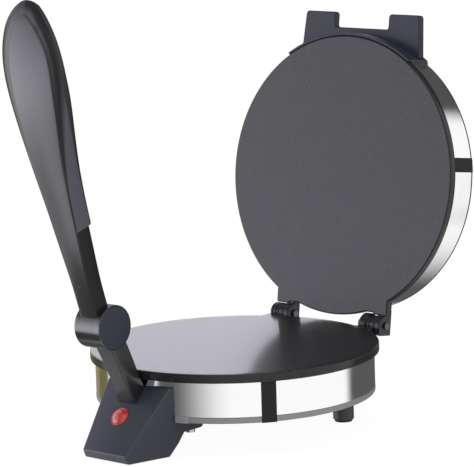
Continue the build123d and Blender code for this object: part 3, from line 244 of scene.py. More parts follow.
paintedLightSpan = (-0.034, 0.014)  # across, in metres: painted light, paler to the left of it
dullSpan = (0.222, 0.300)  # up, in metres: less polish above it


def polishedPlastic(name, dark, light, coat, gloss, body, paintedLight=None, dull=0.0):
    # polished on faces that look forward, fine grain at the sides;
    # a colour given after body is painted light, a paler tone at the left where light falls from that side;
    # dull: the share of polish lost at the lever's tip
    finish = surface(name, {"Coat Roughness": 0.19, "Coat IOR": gloss, "IOR": body})
    where, grain, tone = plasticTone(finish, 0.45, dark, light)
    front = -finish.axis(finish.add("ShaderNodeTexCoord", output="Normal"), "Y")
    # painted light: the left of the piece is paler, as if lit from that side
    if paintedLight:
        tone = finish.mix(finish.axis(where, "X").step(*paintedLightSpan), paintedLight, tone)
    coat = coat * front.step(0.12, 0.42)
    if dull:
        coat = coat * (1.0 - dull * finish.axis(where, "Z").step(*dullSpan))
    return drive(finish, baseColor=tone, roughness=0.36 + 0.12 * grain, coat=coat,
                 normal=finish.bump(grain, 0.015))


def gripPlastic():
    # soft-touch pad: its sides get a pale lilac tone that is a painted reflection; its back is dark
    finish = surface("gripPlastic", {"Coat Weight": 0.2, "Coat Roughness": 0.3, "IOR": 1.5})
    where = finish.place()
    grain = finish.noise(where, 0.45, 3.0, 0.6)
    side = finish.add("ShaderNodeAttribute", {"attribute_name": "shade"}, output="Fac")
    dark = finish.mix(grain, grey(0.010, 0.010, 0.012), grey(0.016, 0.016, 0.018))
    # painted reflection: pale lilac on faces whose shade value is 1, the pad's sides
    paintedSheen = finish.mix(grain, grey(0.060, 0.060, 0.088), grey(0.078, 0.078, 0.110))
    return drive(finish, baseColor=finish.mix(side, dark, paintedSheen), roughness=0.38 + 0.14 * grain,
                 normal=finish.bump(grain, 0.02))


def redLens():
    # clear red moulding with a faint glow from inside
    finish = surface("redLens", {"Coat Weight": 1.0, "Coat Roughness": 0.06, "Emission Strength": 0.10})
    grain = finish.noise(finish.place(), 5.0, 2.0)
    tone = finish.mix(grain, grey(0.44, 0.018, 0.018), grey(0.54, 0.03, 0.028))
    glow = finish.mix(grain, grey(0.6, 0.05, 0.04), grey(0.9, 0.1, 0.08))
    return drive(finish, baseColor=tone, glow=glow, roughness=0.16 + 0.08 * grain)


def clearGlass():
    finish = surface("clearGlass", {"Transmission Weight": 0.9, "IOR": 1.45})
    grain = finish.noise(finish.place(), 1.5, 2.0)
    tone = finish.mix(grain, grey(0.9, 0.8, 0.7), grey(1.0, 0.92, 0.85))
    return drive(finish, baseColor=tone, roughness=0.05 + 0.05 * grain)


def wovenSleeve():
    finish = surface("wovenSleeve", {"Sheen Weight": 0.3})
    weave = finish.add("ShaderNodeTexWave", {"bands_direction": "DIAGONAL"},
                       {"Vector": finish.place(), "Scale": 900.0, "Distortion": 1.0}, "Fac")
    tone = finish.mix(weave, grey(0.52, 0.48, 0.40), grey(0.76, 0.72, 0.64))
    return drive(finish, baseColor=tone, roughness=0.7 + 0.1 * weave, normal=finish.bump(weave, 0.06))


finishes = {
    "plate_coating": plateCoating(),
    "bright_band": brightBand(),
    "rolled_ring": grained("rolledRing", {"Metallic": 0.55}, grey(0.29, 0.29, 0.30), grey(0.37, 0.37, 0.38),
                           0.7, 0.58, 0.1, 0.01, (0.1, 0.1, 1.0)),
    "clip_metal": brightMetal("clipMetal", grey(0.55, 0.55, 0.57), 0.3),
    "seam_clip": mouldedPlastic("seamClip", grey(0.008), grey(0.014), 0.45, 0.0, body=1.35),
    "shell_plastic": mouldedPlastic("shellPlastic", grey(0.021, 0.023, 0.036), grey(0.030, 0.033, 0.052),
                                    0.36, 0.1, body=1.35),
    "lever_plastic": polishedPlastic("leverPlastic", grey(0.009, 0.009, 0.010), grey(0.015, 0.015, 0.017),
                                     1.0, 1.7, 1.3, dull=0.68),
    "grip_plastic": gripPlastic(),
    "lens_red": redLens(),
    "lamp_glass": clearGlass(),
    "pad_rubber": grained("softRubber", {"IOR": 1.45}, grey(0.018, 0.018, 0.020), grey(0.034, 0.034, 0.036),
                          0.6, 0.66, 0.2, 0.03),
    "cover_paint": mouldedPlastic("coverPaint", grey(0.024, 0.024, 0.028), grey(0.034, 0.034, 0.039),
                                  0.5, 0.1, 0.7),
    "pan_steel": brightMetal("panSteel", grey(0.42, 0.42, 0.43), 0.38, 6.0),
    "screw_steel": brightMetal("screwSteel", grey(0.48, 0.48, 0.50), 0.28),
    "heater_sheath": brightMetal("heaterSheath", grey(0.16, 0.15, 0.14), 0.45),
    "ceramic_white": mouldedPlastic("ceramicWhite", grey(0.70, 0.69, 0.64), grey(0.80, 0.79, 0.75),
                                    0.35, 0.2, 0.8),
    "thermostat_body": brightMetal("thermostatBody", grey(0.38), 0.35),
    "clamp_brass": brightMetal("clampBrass", grey(0.62, 0.44, 0.17), 0.25),
    "lead_sleeve": wovenSleeve(),
}
# finishes of single pieces
capPlastic = mouldedPlastic("capPlastic", grey(0.034, 0.042, 0.056), grey(0.042, 0.052, 0.068),
                            0.36, 0.0, body=1.3)
# housing: its left side is painted paler, light painted into its colour
housingPlastic = polishedPlastic("housingPlastic", grey(0.034, 0.038, 0.050), grey(0.042, 0.047, 0.062),
                                 0.55, 1.6, 1.33, grey(0.078, 0.078, 0.110))
postPlastic = mouldedPlastic("postPlastic", grey(0.007, 0.008, 0.009), grey(0.012, 0.013, 0.014), 0.34, 0.6)
footPlastic = mouldedPlastic("footPlastic", grey(0.034), grey(0.046), 0.45, 0.1)
darkSteel = brightMetal("darkSteel", grey(0.13, 0.13, 0.16), 0.3)
own = {"hinge_pins": darkSteel, "rear_feet": footPlastic}
for part in frame["record"]["subparts"]:
    node = frame["nodes"][part["node"]]
    node.data.materials.clear()
    node.data.materials.append(own.get(part["node"], finishes[part["material_slot"]]))
print("finishes made,", len(finishes))


# shapes: numpy surfaces in mm, gathered into one mesh for each piece

class Shape:
    def __init__(self):
        self.points, self.faces, self.shades, self.count = [], [], [], 0

    def gather(self, points, faces, shade):
        self.points.append(points)
        self.faces += faces
        self.shades += [shade] * len(faces)
        self.count += len(points)
        return self

    def grid(self, points, closeRows=False, closeCols=False, shade=0.0):
        # rows x columns x 3 points; 'close' joins the last line to the first
        rows, cols = points.shape[:2]
        i, j = np.meshgrid(np.arange(rows - (not closeRows)), np.arange(cols - (not closeCols)),
                           indexing="ij")
        nextRow, nextCol = (i + 1) % rows, (j + 1) % cols
        quads = np.stack([i * cols + j, nextRow * cols + j, nextRow * cols + nextCol,
                          i * cols + nextCol], -1)
        return self.gather(points.reshape(-1, 3), (quads.reshape(-1, 4) + self.count).tolist(), shade)

    def cap(self, loop, shade=0.0):
        # one flat face across a closed loop of points
        return self.gather(loop, [list(range(self.count, self.count + len(loop)))], shade)

    def take(self, other, offset=(0.0, 0.0, 0.0)):
        # another shape's points and faces, moved by an offset
        faces = [[i + self.count for i in face] for face in other.faces]
        return self.gather(np.vstack(other.points) + np.array(offset), faces, 0.0)


def opened(points):
    # lid pieces are drawn closed and turned about the hinge line to where the lid rests
    return turnedAbout(points, hinge["y"], hinge["z"], -radians(hinge["open"]))


def leaned(points):
    # lever pieces are drawn upright about the pivot and leaned forward
    moved = turnedAbout(points, 0.0, 0.0, radians(lever["lean"]))
    return moved + np.array([0.0, lever["pivotY"], lever["pivotZ"]])


def spun(x, y, angle):
    # a flat vector turned anticlockwise; shader values are turned the same way
    return x * np.cos(angle) - y * np.sin(angle), x * np.sin(angle) + y * np.cos(angle)


def turnedAbout(points, y, z, angle):
    # turned about a line along X
    out = np.array(points, float)
    dy, dz = spun(points[:, 1] - y, points[:, 2] - z, angle)
    out[:, 1], out[:, 2] = y + dy, z + dz
    return out


def makePiece(name, shape, body, slot, replaced=(), place=None, sharp=35.0, bevel=0.0, finish=None):
    points = np.vstack(shape.points)
    if place:
        points = place(points)
    mesh = bpy.data.meshes.new(name)
    mesh.from_pydata((points * mm).tolist(), [], shape.faces)
    # each face's shade value; gripPlastic reads it to paint a reflection on the pad's sides
    mesh.attributes.new("shade", "FLOAT", "FACE").data.foreach_set("value", shape.shades)
    work = bmesh.new()
    work.from_mesh(mesh)
    bmesh.ops.remove_doubles(work, verts=work.verts, dist=0.002 * mm)
    bmesh.ops.dissolve_degenerate(work, edges=work.edges, dist=0.001 * mm)
    bmesh.ops.recalc_face_normals(work, faces=work.faces)
    work.to_mesh(mesh)
    work.free()
    mesh.polygons.foreach_set("use_smooth", np.ones(len(mesh.polygons), bool))
    mesh.set_sharp_from_angle(angle=radians(sharp))
    mesh.materials.append(finish or finishes[slot])
    piece = addObject(name, mesh)
    if bevel:
        edge = piece.modifiers.new("edges", "BEVEL")
        edge.width, edge.segments, edge.limit_method = bevel * mm, 4, "ANGLE"
        edge.angle_limit = radians(30.0)
        edge.harden_normals = True
    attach(piece, body)
    if replaced:
        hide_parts(*replaced)
    return piece


def rounded(corners, radius, closed=True, steps=5):
    # a line of 2-D corners with an arc at each; radius is one number or one for each corner
    corners = np.array(corners, float)
    radii = np.broadcast_to(radius, len(corners))
    out = []
    for k, corner in enumerate(corners):
        if radii[k] <= 0 or (not closed and k in (0, len(corners) - 1)):
            out.append(corner)
            continue
        before = corners[k - 1] - corner
        after = corners[(k + 1) % len(corners)] - corner
        before, after = before / np.hypot(*before), after / np.hypot(*after)
        half = 0.5 * np.arccos(np.clip(before @ after, -1, 1))
        reach = radii[k] / np.tan(half)
        middle = corner + (before + after) / np.hypot(*(before + after)) * radii[k] / np.sin(half)
        first, last = corner + before * reach - middle, corner + after * reach - middle
        for share in np.linspace(0, 1, steps):
            spread = np.pi - 2 * half
            out.append(middle + (np.sin((1 - share) * spread) * first + np.sin(share * spread) * last)
                       / np.sin(spread))
    return np.array(out)


def inset(outline, distance):
    # closed 2-D outline, anticlockwise, moved inwards
    before, after = outline - np.roll(outline, 1, 0), np.roll(outline, -1, 0) - outline
    sides = []
    for edge in (before, after):
        length = np.maximum(np.hypot(edge[:, 0], edge[:, 1]), 1e-9)[:, None]
        sides.append(np.column_stack([edge[:, 1], -edge[:, 0]]) / length)
    both = sides[0] + sides[1]
    share = np.maximum(1 + np.sum(sides[0] * sides[1], 1), 0.5)[:, None]
    return outline - both / share * distance


def anticlockwise(outline):
    x, y = outline.T
    return outline if np.sum(x * np.roll(y, -1) - y * np.roll(x, -1)) > 0 else outline[::-1]


def slab(shape, outline, low, high, radius, plane="xy", steps=5, shade=0.0):
    # closed outline carried from low to high, with rounded edges at both ends
    outline = anticlockwise(np.asarray(outline, float))
    angles = np.linspace(0, np.pi / 2, steps)
    levels = [(radius * (1 - np.sin(a)), low + radius * (1 - np.cos(a))) for a in angles]
    levels += [(radius * (1 - np.cos(a)), high - radius * (1 - np.sin(a))) for a in angles]
    levels = [(radius + 0.25, low)] + levels + [(radius + 0.25, high)]
    rows = [set3d(inset(outline, distance), level, plane) for distance, level in levels]
    shape.grid(np.array(rows), closeCols=True, shade=shade)
    shape.cap(rows[0], shade)
    return shape.cap(rows[-1], shade)


def set3d(flat, level, plane):
    # 2-D points put on a plane: 'xy' seen from above, 'yz' seen from the side
    level = np.full(len(flat), level)
    columns = {"xy": (flat[:, 0], flat[:, 1], level), "yz": (level, flat[:, 0], flat[:, 1])}[plane]
    return np.column_stack(columns)


def turnedShape(shape, profile, start=0.0, stop=360.0, steps=256, axis="z", closed=False, shade=0.0):
    # profile of (radius, height) points turned about an axis; closed: its ends are joined too
    full = stop - start >= 360.0
    angles = np.radians(np.linspace(start, stop, steps + 1))[:steps if full else steps + 1]
    r, h = np.asarray(profile, float).T
    c, s = np.cos(angles)[:, None] * r, np.sin(angles)[:, None] * r
    level = np.broadcast_to(h, c.shape)
    points = np.stack({"x": [level, c, s], "y": [c, level, s], "z": [c, s, level]}[axis], -1)
    shape.grid(points, closeRows=full, closeCols=closed, shade=shade)
    if not full and closed:
        shape.cap(points[0], shade)
        shape.cap(points[-1], shade)
    return shape


def arcTo(start, direction, end, steps=24):
    # arc that leaves start in a direction and ends at end, without start itself;
    # also the direction in which it arrives
    start, end, direction = (np.array(point, float) for point in (start, end, direction))
    direction = direction / np.hypot(*direction)
    normal = np.array([-direction[1], direction[0]])
    chord = end - start
    curve = chord @ chord / (2 * chord @ normal)
    middle = start + curve * normal
    sweep = 2 * np.arctan2(chord @ normal, chord @ direction)
    turns = np.linspace(0, sweep, steps + 1)[1:]
    points = middle + np.column_stack(spun(*(start - middle), turns))
    return points, np.array(spun(*direction, sweep))


def smoothCurve(points, startSlope, endSlope, count):
    # cubic spline through points by distance along their chords, with set end directions
    points = np.array(points, float)
    place = np.concatenate([[0], np.cumsum(np.hypot(*np.diff(points, axis=0).T))])
    n, gap = len(points), np.diff(place)
    left, right = np.eye(n), np.zeros((n, 2))
    right[0], right[-1] = startSlope, endSlope
    for k in range(1, n - 1):
        left[k, k - 1:k + 2] = gap[k], 2 * (gap[k - 1] + gap[k]), gap[k - 1]
        right[k] = 3 * (gap[k] * (points[k] - points[k - 1]) / gap[k - 1]
                        + gap[k - 1] * (points[k + 1] - points[k]) / gap[k])
    slopes = np.linalg.solve(left, right)
    at = np.linspace(0, place[-1], count)
    k = np.clip(np.searchsorted(place, at, "right") - 1, 0, n - 2)
    u = ((at - place[k]) / gap[k])[:, None]
    span = gap[k][:, None]
    return ((1 + 2 * u) * (1 - u) ** 2 * points[k] + u * (1 - u) ** 2 * span * slopes[k]
            + u ** 2 * (3 - 2 * u) * points[k + 1] + u ** 2 * (u - 1) * span * slopes[k + 1])


def onCircle(radius, angles):
    return np.column_stack([np.cos(angles), np.sin(angles)]) * radius


def eased(value, low, high):
    # 0 below low, 1 above high, smooth between
    share = np.clip((np.asarray(value, float) - low) / (high - low), 0, 1)
    return share * share * (3 - 2 * share)


# lever: an outer shell with a raised panel, and a pad behind it

hinge = {"y": 123.9, "z": 0.25, "open": 98.0, "near": 40.3, "far": 61.6, "knuckle": 8.0,
         "earWidth": 5.5, "ear": 8.4}
lever = {"lean": 17.5, "pivotY": -154.5, "pivotZ": 41.3, "front": -12.0, "shankBack": 3.2,
         "padBack": 6.0, "parting": 1.0, "padStart": 88.0, "tip": 270.6, "tipBack": 14.6,
         "tipRear": (15.8, 266.6), "crown": 1.1, "edgeDepth": 2.6, "rows": 220,
         "foot": 8.0, "straight": 120.0, "bend": (2.4, 250.0), "padStraight": 205.0, "partingStraight": 190.0,
         "outline": [(9.2, 30.0), (11.8, 73.0), (14.8, 110.0), (22.0, 157.0), (31.3, 215.0),
                     (22.0, 254.0), (0.0, 270.6)],
         # against the distance up: the panel's share of the width, and the pad's waist line
         "panelShare": ((0, 60, 88, 120, 160, 200, 215, 240, 271),
                        (0.86, 0.90, 0.935, 0.90, 0.80, 0.705, 0.69, 0.69, 0.66)),
         "waist": ((88, 120, 160, 200, 215, 235), (4.8, 3.6, 1.4, -2.0, -1.9, 2.2))}


def leverLines(user):
    # outline (half width, distance up) and the side-view lines as (behind, distance up)
    front, straight, tip = user["front"], user["straight"], (user["tipBack"], user["tip"])
    outline = smoothCurve(user["outline"], (0, 1), (-1, 0), user["rows"])
    outline = np.vstack([[(user["outline"][0][0], user["foot"])], outline])
    bend, leaving = arcTo((front, straight), (0, 1), user["bend"])
    nose, _ = arcTo(user["bend"], leaving, tip)
    lines = {"outer": np.vstack([[(front, 0.0), (front, straight)], bend, nose])}
    for name, back in (("pad", user["padBack"]), ("parting", user["parting"])):
        start = user[name + "Straight"]
        arc, _ = arcTo((back, start), (0, 1), user["tipRear"])
        lines[name] = np.vstack([[(back, 0.0), (back, start)], arc, [tip]])
    return outline, lines


def onLine(line, height):
    return np.interp(height, line[:, 1], line[:, 0])


panelSteps = (0, 0.12, 0.25, 0.38, 0.52, 0.66, 0.8, 0.92)  # columns across half the panel
bevelSteps = ((0.07, 0.0), (0.35, 0.16), (0.65, 0.18), (0.93, 0.06))  # share of the way to the rim, lift


def leverSection(half, height, panel, panelTop, frontLine, edge, back, step, corner=0.9):
    # right half of each section from the middle of the front to the middle of the back;
    # step draws the side in where the pad's side lies over it
    rows = []
    for w, s, xp, sp, f, e, b, d in zip(half, height, panel, panelTop, frontLine, edge, back, step):
        right = [(u * xp, f[0] + (f[1] - f[0]) * u * u, sp) for u in panelSteps]
        right += [(xp - min(0.35, 0.05 * xp), f[1] - 0.02, sp), (xp, f[1] + 0.05, sp)]
        rim = (w, e, s)
        start = np.array(right[-1])
        for share, lift in bevelSteps:
            point = start + share * (np.array(rim) - start)
            point[1] -= lift * (e - f[1]) * 0.9
            right.append(tuple(point))
        deep = max(b - e, 0.0)
        c = min(corner, 0.3 * w, 0.45 * deep)
        edgeRound = c * (1 - d) + 0.2 * d * min(1.0, deep)
        v = max(w - 0.6 * d, 0.0)
        right += [(w - 0.2 * edgeRound, e + 0.15 * edgeRound, s), (v, e + edgeRound, s), (v, b - c, s),
                  (v - 0.3 * c, b - 0.3 * c, s), (v - c, b, s), (v - min(1.4 + c, 0.5 * v), b, s), (0, b, s)]
        right = np.array(right)
        mirrored = right[::-1][1:-1] * (-1, 1, 1)
        rows.append(np.vstack([right, mirrored]))
    return np.array(rows)


def leverFront(user, outline, lines):
    # panel's half width and top, lift of its crown, and the line of the edge beside its bevel
    half, height = outline.T
    panel = half * np.interp(height, *user["panelShare"])
    panelTop = height - 9.5 * eased(height, 205.0, 270.6) ** 1.5
    crown = user["crown"] * eased(panel, 4.0, 20.0) + 0.25 * eased(panel, 0.0, 6.0)
    flat = onLine(lines["outer"], panelTop)
    depth = 0.45 + user["edgeDepth"] * eased(half - panel, 0.4, 9.0)
    parting = onLine(lines["parting"], height)
    edge = np.minimum(onLine(lines["outer"], height) + crown + depth, parting - 0.02)
    edge = np.maximum(edge, np.minimum(flat + crown + 0.05, parting - 0.02))
    return panel, panelTop, crown, flat, edge


def makeLeverArm(user):
    # shell: sections across the lever joined up its length, then the drum's wall and two cheeks
    outline, lines = leverLines(user)
    start = np.interp(user["padStart"], outline[:, 1], outline[:, 0])
    below = outline[outline[:, 1] < user["padStart"] - 0.3]
    above = outline[outline[:, 1] > user["padStart"] + 0.3]
    outline = np.vstack([below, [(start, user["padStart"] - 0.01), (start, user["padStart"] + 0.01)], above])
    half, height = outline.T
    panel, panelTop, crown, flat, edge = leverFront(user, outline, lines)
    front = np.column_stack([flat, flat + crown])
    behind = height > user["padStart"]
    back = np.where(behind, onLine(lines["parting"], height), user["shankBack"])
    edge[-1] = back[-1]
    shape = Shape()
    rows = leverSection(half, height, panel, panelTop, front, edge, back, behind.astype(float))
    shape.grid(rows, closeCols=True)
    shape.cap(rows[0])
    drum = leverDrum
    turnedShape(shape, drumWall(drum), drum["wallFrom"], drum["wallTo"], 96, "x", closed=True)
    for side in (-1, 1):
        turnedShape(shape, drumCheek(drum) * (1, side), steps=128, axis="x", closed=True)
    return makePiece("leverArm", shape, "lever", "lever_plastic", ["lever_arm"], leaned, 32.0)


leverDrum = {"radius": 18.0, "half": 14.0, "wall": 2.5, "cheek": 9.0, "recess": 16.5, "recessDepth": 1.8,
             "bore": 4.1, "wallFrom": 53.8, "wallTo": 250.5}


def drumWall(user):
    inner, outer, half = user["radius"] - user["wall"], user["radius"], user["cheek"] + 0.4
    return [(inner, -half), (outer, -half), (outer, half), (inner, half)]


def drumCheek(user):
    # closed profile of (radius, x): bore, inner face, rim, recess for the cap
    bore, outer, recess, inside, face = (user[key] for key in ("bore", "radius", "recess", "cheek", "half"))
    floor = face - user["recessDepth"]
    corners = [(bore, inside), (outer, inside), (outer, face), (recess, face), (recess, floor), (bore, floor)]
    return rounded(corners, [0, 0.15, 0.9, 0.35, 0, 0], steps=6)


def makePivotCaps(user):
    # shallow domed cap that covers the end of the drum but for a thin rim
    shape = Shape()
    radius, low, rim = user["recess"], user["half"] - user["recessDepth"] + 0.1, user["half"] - 0.1
    across = np.linspace(radius + 0.55, 0, 24)
    dome = rim + 0.25 + 1.3 * (1 - (across / across[0]) ** 2)
    profile = np.vstack([[(0, low), (radius - 0.1, low), (radius - 0.1, rim), (across[0] - 0.1, rim)],
                         np.column_stack([across, dome])])
    for side in (-1, 1):
        turnedShape(shape, profile * (1, side), steps=128, axis="x")
    return makePiece("pivotCaps", shape, "lever", "lever_plastic", ["pivot_caps"], leaned, finish=capPlastic)


def makeGripPad(user):
    # pad behind the shell: its sides reach forward over the shell's, further at the lower end
    outline, lines = leverLines(user)
    keep = outline[:, 1] > user["padStart"]
    first = np.array([[np.interp(user["padStart"], outline[:, 1], outline[:, 0]), user["padStart"]]])
    half, height = np.vstack([first, outline[keep]]).T
    back = onLine(lines["pad"], height)
    edge = leverFront(user, np.column_stack([half, height]), lines)[4]
    front = np.minimum(edge + 0.3, np.minimum(onLine(lines["parting"], height) + 0.1, back - 0.15))
    waist = np.minimum(np.maximum(np.interp(height, *user["waist"]), front + 0.1), back - 0.1)
    lowerEnd = eased(height, user["padStart"] - 0.01, user["padStart"] + 2.2)
    grow = 1.0 - 0.5 * (1 - lowerEnd)
    strips, rears = [], []
    for w, s, f, m, b, g in zip(half, height, front, waist, back, grow):
        proud = min(0.3, 0.2 * w, 0.5 * max(m - f, 0.0))
        b = m + (b - m) * g
        lean = min(0.9, 0.2 * w) * np.clip((b - m) / 6.0, 0, 1)
        c = min(1.3, 0.3 * w, 0.4 * max(b - m, 0.0))
        inner = max(w - 3.0, 0.0)
        strip = [(inner, f, s), (w - 0.6 * proud, f, s), (w - 0.15 * proud, f + 0.12 * (m - f), s),
                 (w, f + 0.3 * (m - f), s), (w, m, s)]
        rear = [(w, m, s), (w - 0.5 * lean, 0.5 * (m + b) - 0.2 * c, s), (w - lean, b - c, s),
                (w - lean - 0.3 * c, b - 0.3 * c, s), (w - lean - c, b, s), (0.6 * max(w - 4, 0), b, s),
                (0, b, s)]
        strips.append(strip)
        rears.append(rear)
    shape = Shape()
    strips, rears = np.array(strips), np.array(rears)
    mirror = np.array([-1.0, 1.0, 1.0])
    # shade 1.0 marks the side strips, which gripPlastic gives a painted reflection
    for rows, shade in ((strips, 1.0), (rears, 0.0)):
        shape.grid(rows, shade=shade)
        shape.grid(rows * mirror, shade=shade)
    middle = np.minimum(onLine(lines["parting"], height) + 0.1, back - 0.12)
    inner = np.stack([strips[:, 0], np.column_stack([0 * half, middle, height])], 1)
    shape.grid(inner)
    shape.grid(inner * mirror)
    end = np.vstack([[inner[0, 1]], strips[0], rears[0, 1:], (rears[0, 1:-1] * mirror)[::-1],
                     (strips[0] * mirror)[::-1]])
    shape.cap(end, 1.0)
    return makePiece("gripPad", shape, "lever", "grip_plastic", ["grip_pad"], leaned, 25.0)


gripScrew = {"up": (104.0, 160.0, 226.0), "radius": 4.1}


def makeGripScrews(user):
    # pan heads seated level with the pad, each in a fine rim
    _, lines = leverLines(lever)
    shape = Shape()
    for up in user["up"]:
        y = onLine(lines["pad"], up)
        r = user["radius"]
        profile = rounded([(0, -0.5), (r - 0.9, -0.5), (r - 0.7, -0.9), (r - 0.4, -0.9), (r - 0.3, 0.12),
                           (r, 0.12), (r, -1.2), (r - 0.8, -1.2)], [0, 0.3, 0, 0, 0.08, 0.08, 0, 0], False, 4)
        shape.take(turnedShape(Shape(), profile, steps=48, axis="y"), (0.0, y, up))
    return makePiece("gripScrews", shape, "lever", "screw_steel", ["grip_screws"], leaned)


shankPlug = {"up": 40.5, "sunk": 0.3}


def makeShankPlug(user):
    # small domed plug in the front of the shank
    dome = [(0, -0.42), (0.7, -0.36), (1.2, -0.12), (1.45, 0.1), (1.5, 0.6)]
    shape = Shape().take(turnedShape(Shape(), dome, steps=24, axis="y"),
                         (0.0, lever["front"] + user["sunk"], user["up"]))
    return makePiece("shankPlug", shape, "lever", "screw_steel", [], leaned, finish=darkSteel)


# post: a rounded bar that leans back from the drum and spreads where it stands on the housing

post = {"lean": 29.0, "top": 9.0, "reach": 76.0, "half": 8.7, "front": -9.0, "rear": 8.1, "rearLow": 6.3,
        "taper": (10.0, 50.0), "corner": 1.5, "rearCorner": 0.8, "footZ": -24.5, "footHeight": 8.5,
        "footLeft": 12.0, "footRight": 8.7, "drift": -2.0, "driftSpan": (20.0, 80.0),
        "lipTop": -0.2, "lipLow": -7.9, "overLip": 123.3, "besideLip": 120.5, "besideBand": 116.6,
        "eye": 15.0, "eyeHalf": 8.2, "bore": 4.1, "tongueHalf": 8.0, "tongueY": (-121.6, -117.0),
        "tongueLow": -60.0}


def makePost(user):
    # rounded rectangles down the leaning axis, each cut off at its own height; eye and tongue
    lean, shape = radians(user["lean"]), Shape()
    half, front, rows = user["half"], user["front"], []
    y0, z0, low = lever["pivotY"], lever["pivotZ"], user["footZ"]
    for share in np.linspace(0.0, 1.0, 120):
        rear = np.interp(share * user["reach"], user["taper"], [user["rear"], user["rearLow"]])
        loop = rounded([(half, front), (half, rear), (-half, rear), (-half, front)],
                       [user["corner"], user["rearCorner"], user["rearCorner"], user["corner"]], steps=6)
        x, behind = loop.T
        end = (z0 - low + behind * sin(lean)) / cos(lean)
        down = user["top"] + share * (end - user["top"])
        y = y0 + down * sin(lean) + behind * cos(lean)
        z = z0 - down * cos(lean) + behind * sin(lean)
        foot = np.where(x < 0, user["footLeft"], user["footRight"]) / half
        spread = 1 + (foot - 1) * np.clip((low + user["footHeight"] - z) / user["footHeight"], 0, 1)
        x = x * spread + user["drift"] * eased(down, *user["driftSpan"])
        # stays clear of the plate's lip and of the base band
        clear = np.where(z > user["lipLow"], user["besideLip"], user["besideBand"])
        clear = np.where(z > user["lipTop"], user["overLip"], clear)
        y = np.minimum(y, -np.sqrt(clear ** 2 - x ** 2))
        rows.append(np.column_stack([x, y, z]))
    rows = np.array(rows)
    shape.grid(rows, closeCols=True)
    shape.cap(rows[0])
    shape.cap(rows[-1])
    # a fine skirt round the foot, into the housing's top
    shape.grid(np.array([rows[-1], rows[-1] * (0.985, 1, 1) + (0, 0.1, -0.35)]), closeCols=True)
    bore, eye, side = user["bore"], user["eye"], user["eyeHalf"]
    eyeProfile = rounded([(bore, -side), (eye, -side), (eye, side), (bore, side)], [0, 0.5, 0.5, 0], steps=4)
    shape.take(turnedShape(Shape(), eyeProfile, steps=96, axis="x", closed=True), (0, y0, z0))
    (near, far), end = user["tongueY"], user["tongueLow"]
    tongue = [(near, low + 6), (far, low + 6), (far, end), (near, end)]
    shape.take(slab(Shape(), tongue, -user["tongueHalf"], user["tongueHalf"], 0.4, "yz"))
    return makePiece("leverPost", shape, "base", "shell_plastic", ["lever_post"], sharp=40.0,
                     finish=postPlastic)


# front housing: wedge with a sloping face, and a flange under the base

housing = {"faceLow": (-158.0, -61.3), "faceTop": (-114.7, -12.2), "footFront": (-154.5, -68.1),
           "footRear": -116.5, "kneeY": -101.0, "rearY": -109.0, "flangeLow": -50.6, "flangeHigh": -41.4,
           "flangeStart": -106.0, "flangeEnd": -72.0, "wideAt": -108.0, "frontHalf": 22.5, "leftMore": 1.8,
           "spread": 0.239, "round": 12.0, "edge": 1.9}


def makeHousing(user):
    # wedge: its side outline at both sides, wider towards the rear, joined by flat faces
    shape = Shape()
    (y0, z0), (y1, z1) = user["faceLow"], user["faceTop"]
    wide, knee, rear = user["wideAt"], user["kneeY"], user["rearY"]
    floor, low, high = user["footFront"][1], user["flangeLow"], user["flangeHigh"]

    def width(y):
        return user["frontHalf"] + user["spread"] * (np.minimum(y, wide) - y0)

    line = [(y0, z0), user["footFront"], (user["footRear"], floor),
            (wide, np.interp(wide, [user["footRear"], knee], [floor, low])),
            (knee, low), (knee, high), (rear, high), (rear, z1), (y1, z1)]
    right = np.array([(width(y), y, z) for y, z in line])
    left = right * (-1, 1, 1) - (user["leftMore"], 0, 0)
    n = len(line)
    faces = [[k, (k + 1) % n, n + (k + 1) % n, n + k] for k in range(n)]
    side = [[0, 1, 2, 3, 6, 7, 8], [3, 4, 5, 6]]
    faces += side + [[n + k for k in face] for face in side]
    shape.gather(np.vstack([left, right]), faces, 0.0)
    half, start, end = width(wide), user["flangeStart"], user["flangeEnd"]
    outline = rounded([(-half, start), (half, start), (half, end), (-half, end)],
                      [0, 0, user["round"], user["round"]], steps=12)
    slab(shape, outline, low + 0.01, high - 0.01, 1.0)
    return makePiece("frontHousing", shape, "base", "shell_plastic", ["front_housing"], bevel=user["edge"],
                     finish=housingPlastic)


lens = {"across": -3.4, "down": 33.5, "radius": 8.0, "rise": 3.6, "facets": 14}


def onFace(points):
    # (across, up the slope, out of the face) to the frame
    (y0, z0), (y1, z1) = housing["faceLow"], housing["faceTop"]
    slope = np.arctan2(z1 - z0, y1 - y0)
    y, z = spun(lens["down"] + points[:, 1], points[:, 2], slope)
    return np.column_stack([lens["across"] + points[:, 0], y0 + y, z0 + z])


def makeLens(user):
    # dome with shallow radial facets inside a plain rim
    turns = np.linspace(0, 2 * pi, 169)[:-1]
    radii = np.concatenate([np.linspace(0.0, 0.84, 22), [0.86, 0.885, 0.91, 0.95, 0.98, 1.0, 1.0]])
    rim = np.array([0.30, 0.36, 0.50, 0.52, 0.40, 0.25, 0.0])
    dome = 1 - (radii[:22] / 0.86) ** 2
    height = np.concatenate([0.26 + 0.74 * dome, rim * 0.5]) * user["rise"]
    facet = np.abs((turns * user["facets"] / (2 * pi)) % 1 - 0.5)
    cut = np.concatenate([np.sin(pi * (radii[:22] / 0.84)) * 0.36, np.zeros(7)])
    level = height[None, :] - facet[:, None] * cut[None, :]
    wide = radii * user["radius"]
    points = np.stack([np.cos(turns)[:, None] * wide, np.sin(turns)[:, None] * wide, level], -1)
    shape = Shape().grid(points, closeRows=True)
    return makePiece("indicatorLens", shape, "base", "lens_red", ["indicator_lens"], onFace, 60.0)


# plates, bands and ring: turned profiles; plates have hinge lugs, tabs and ears

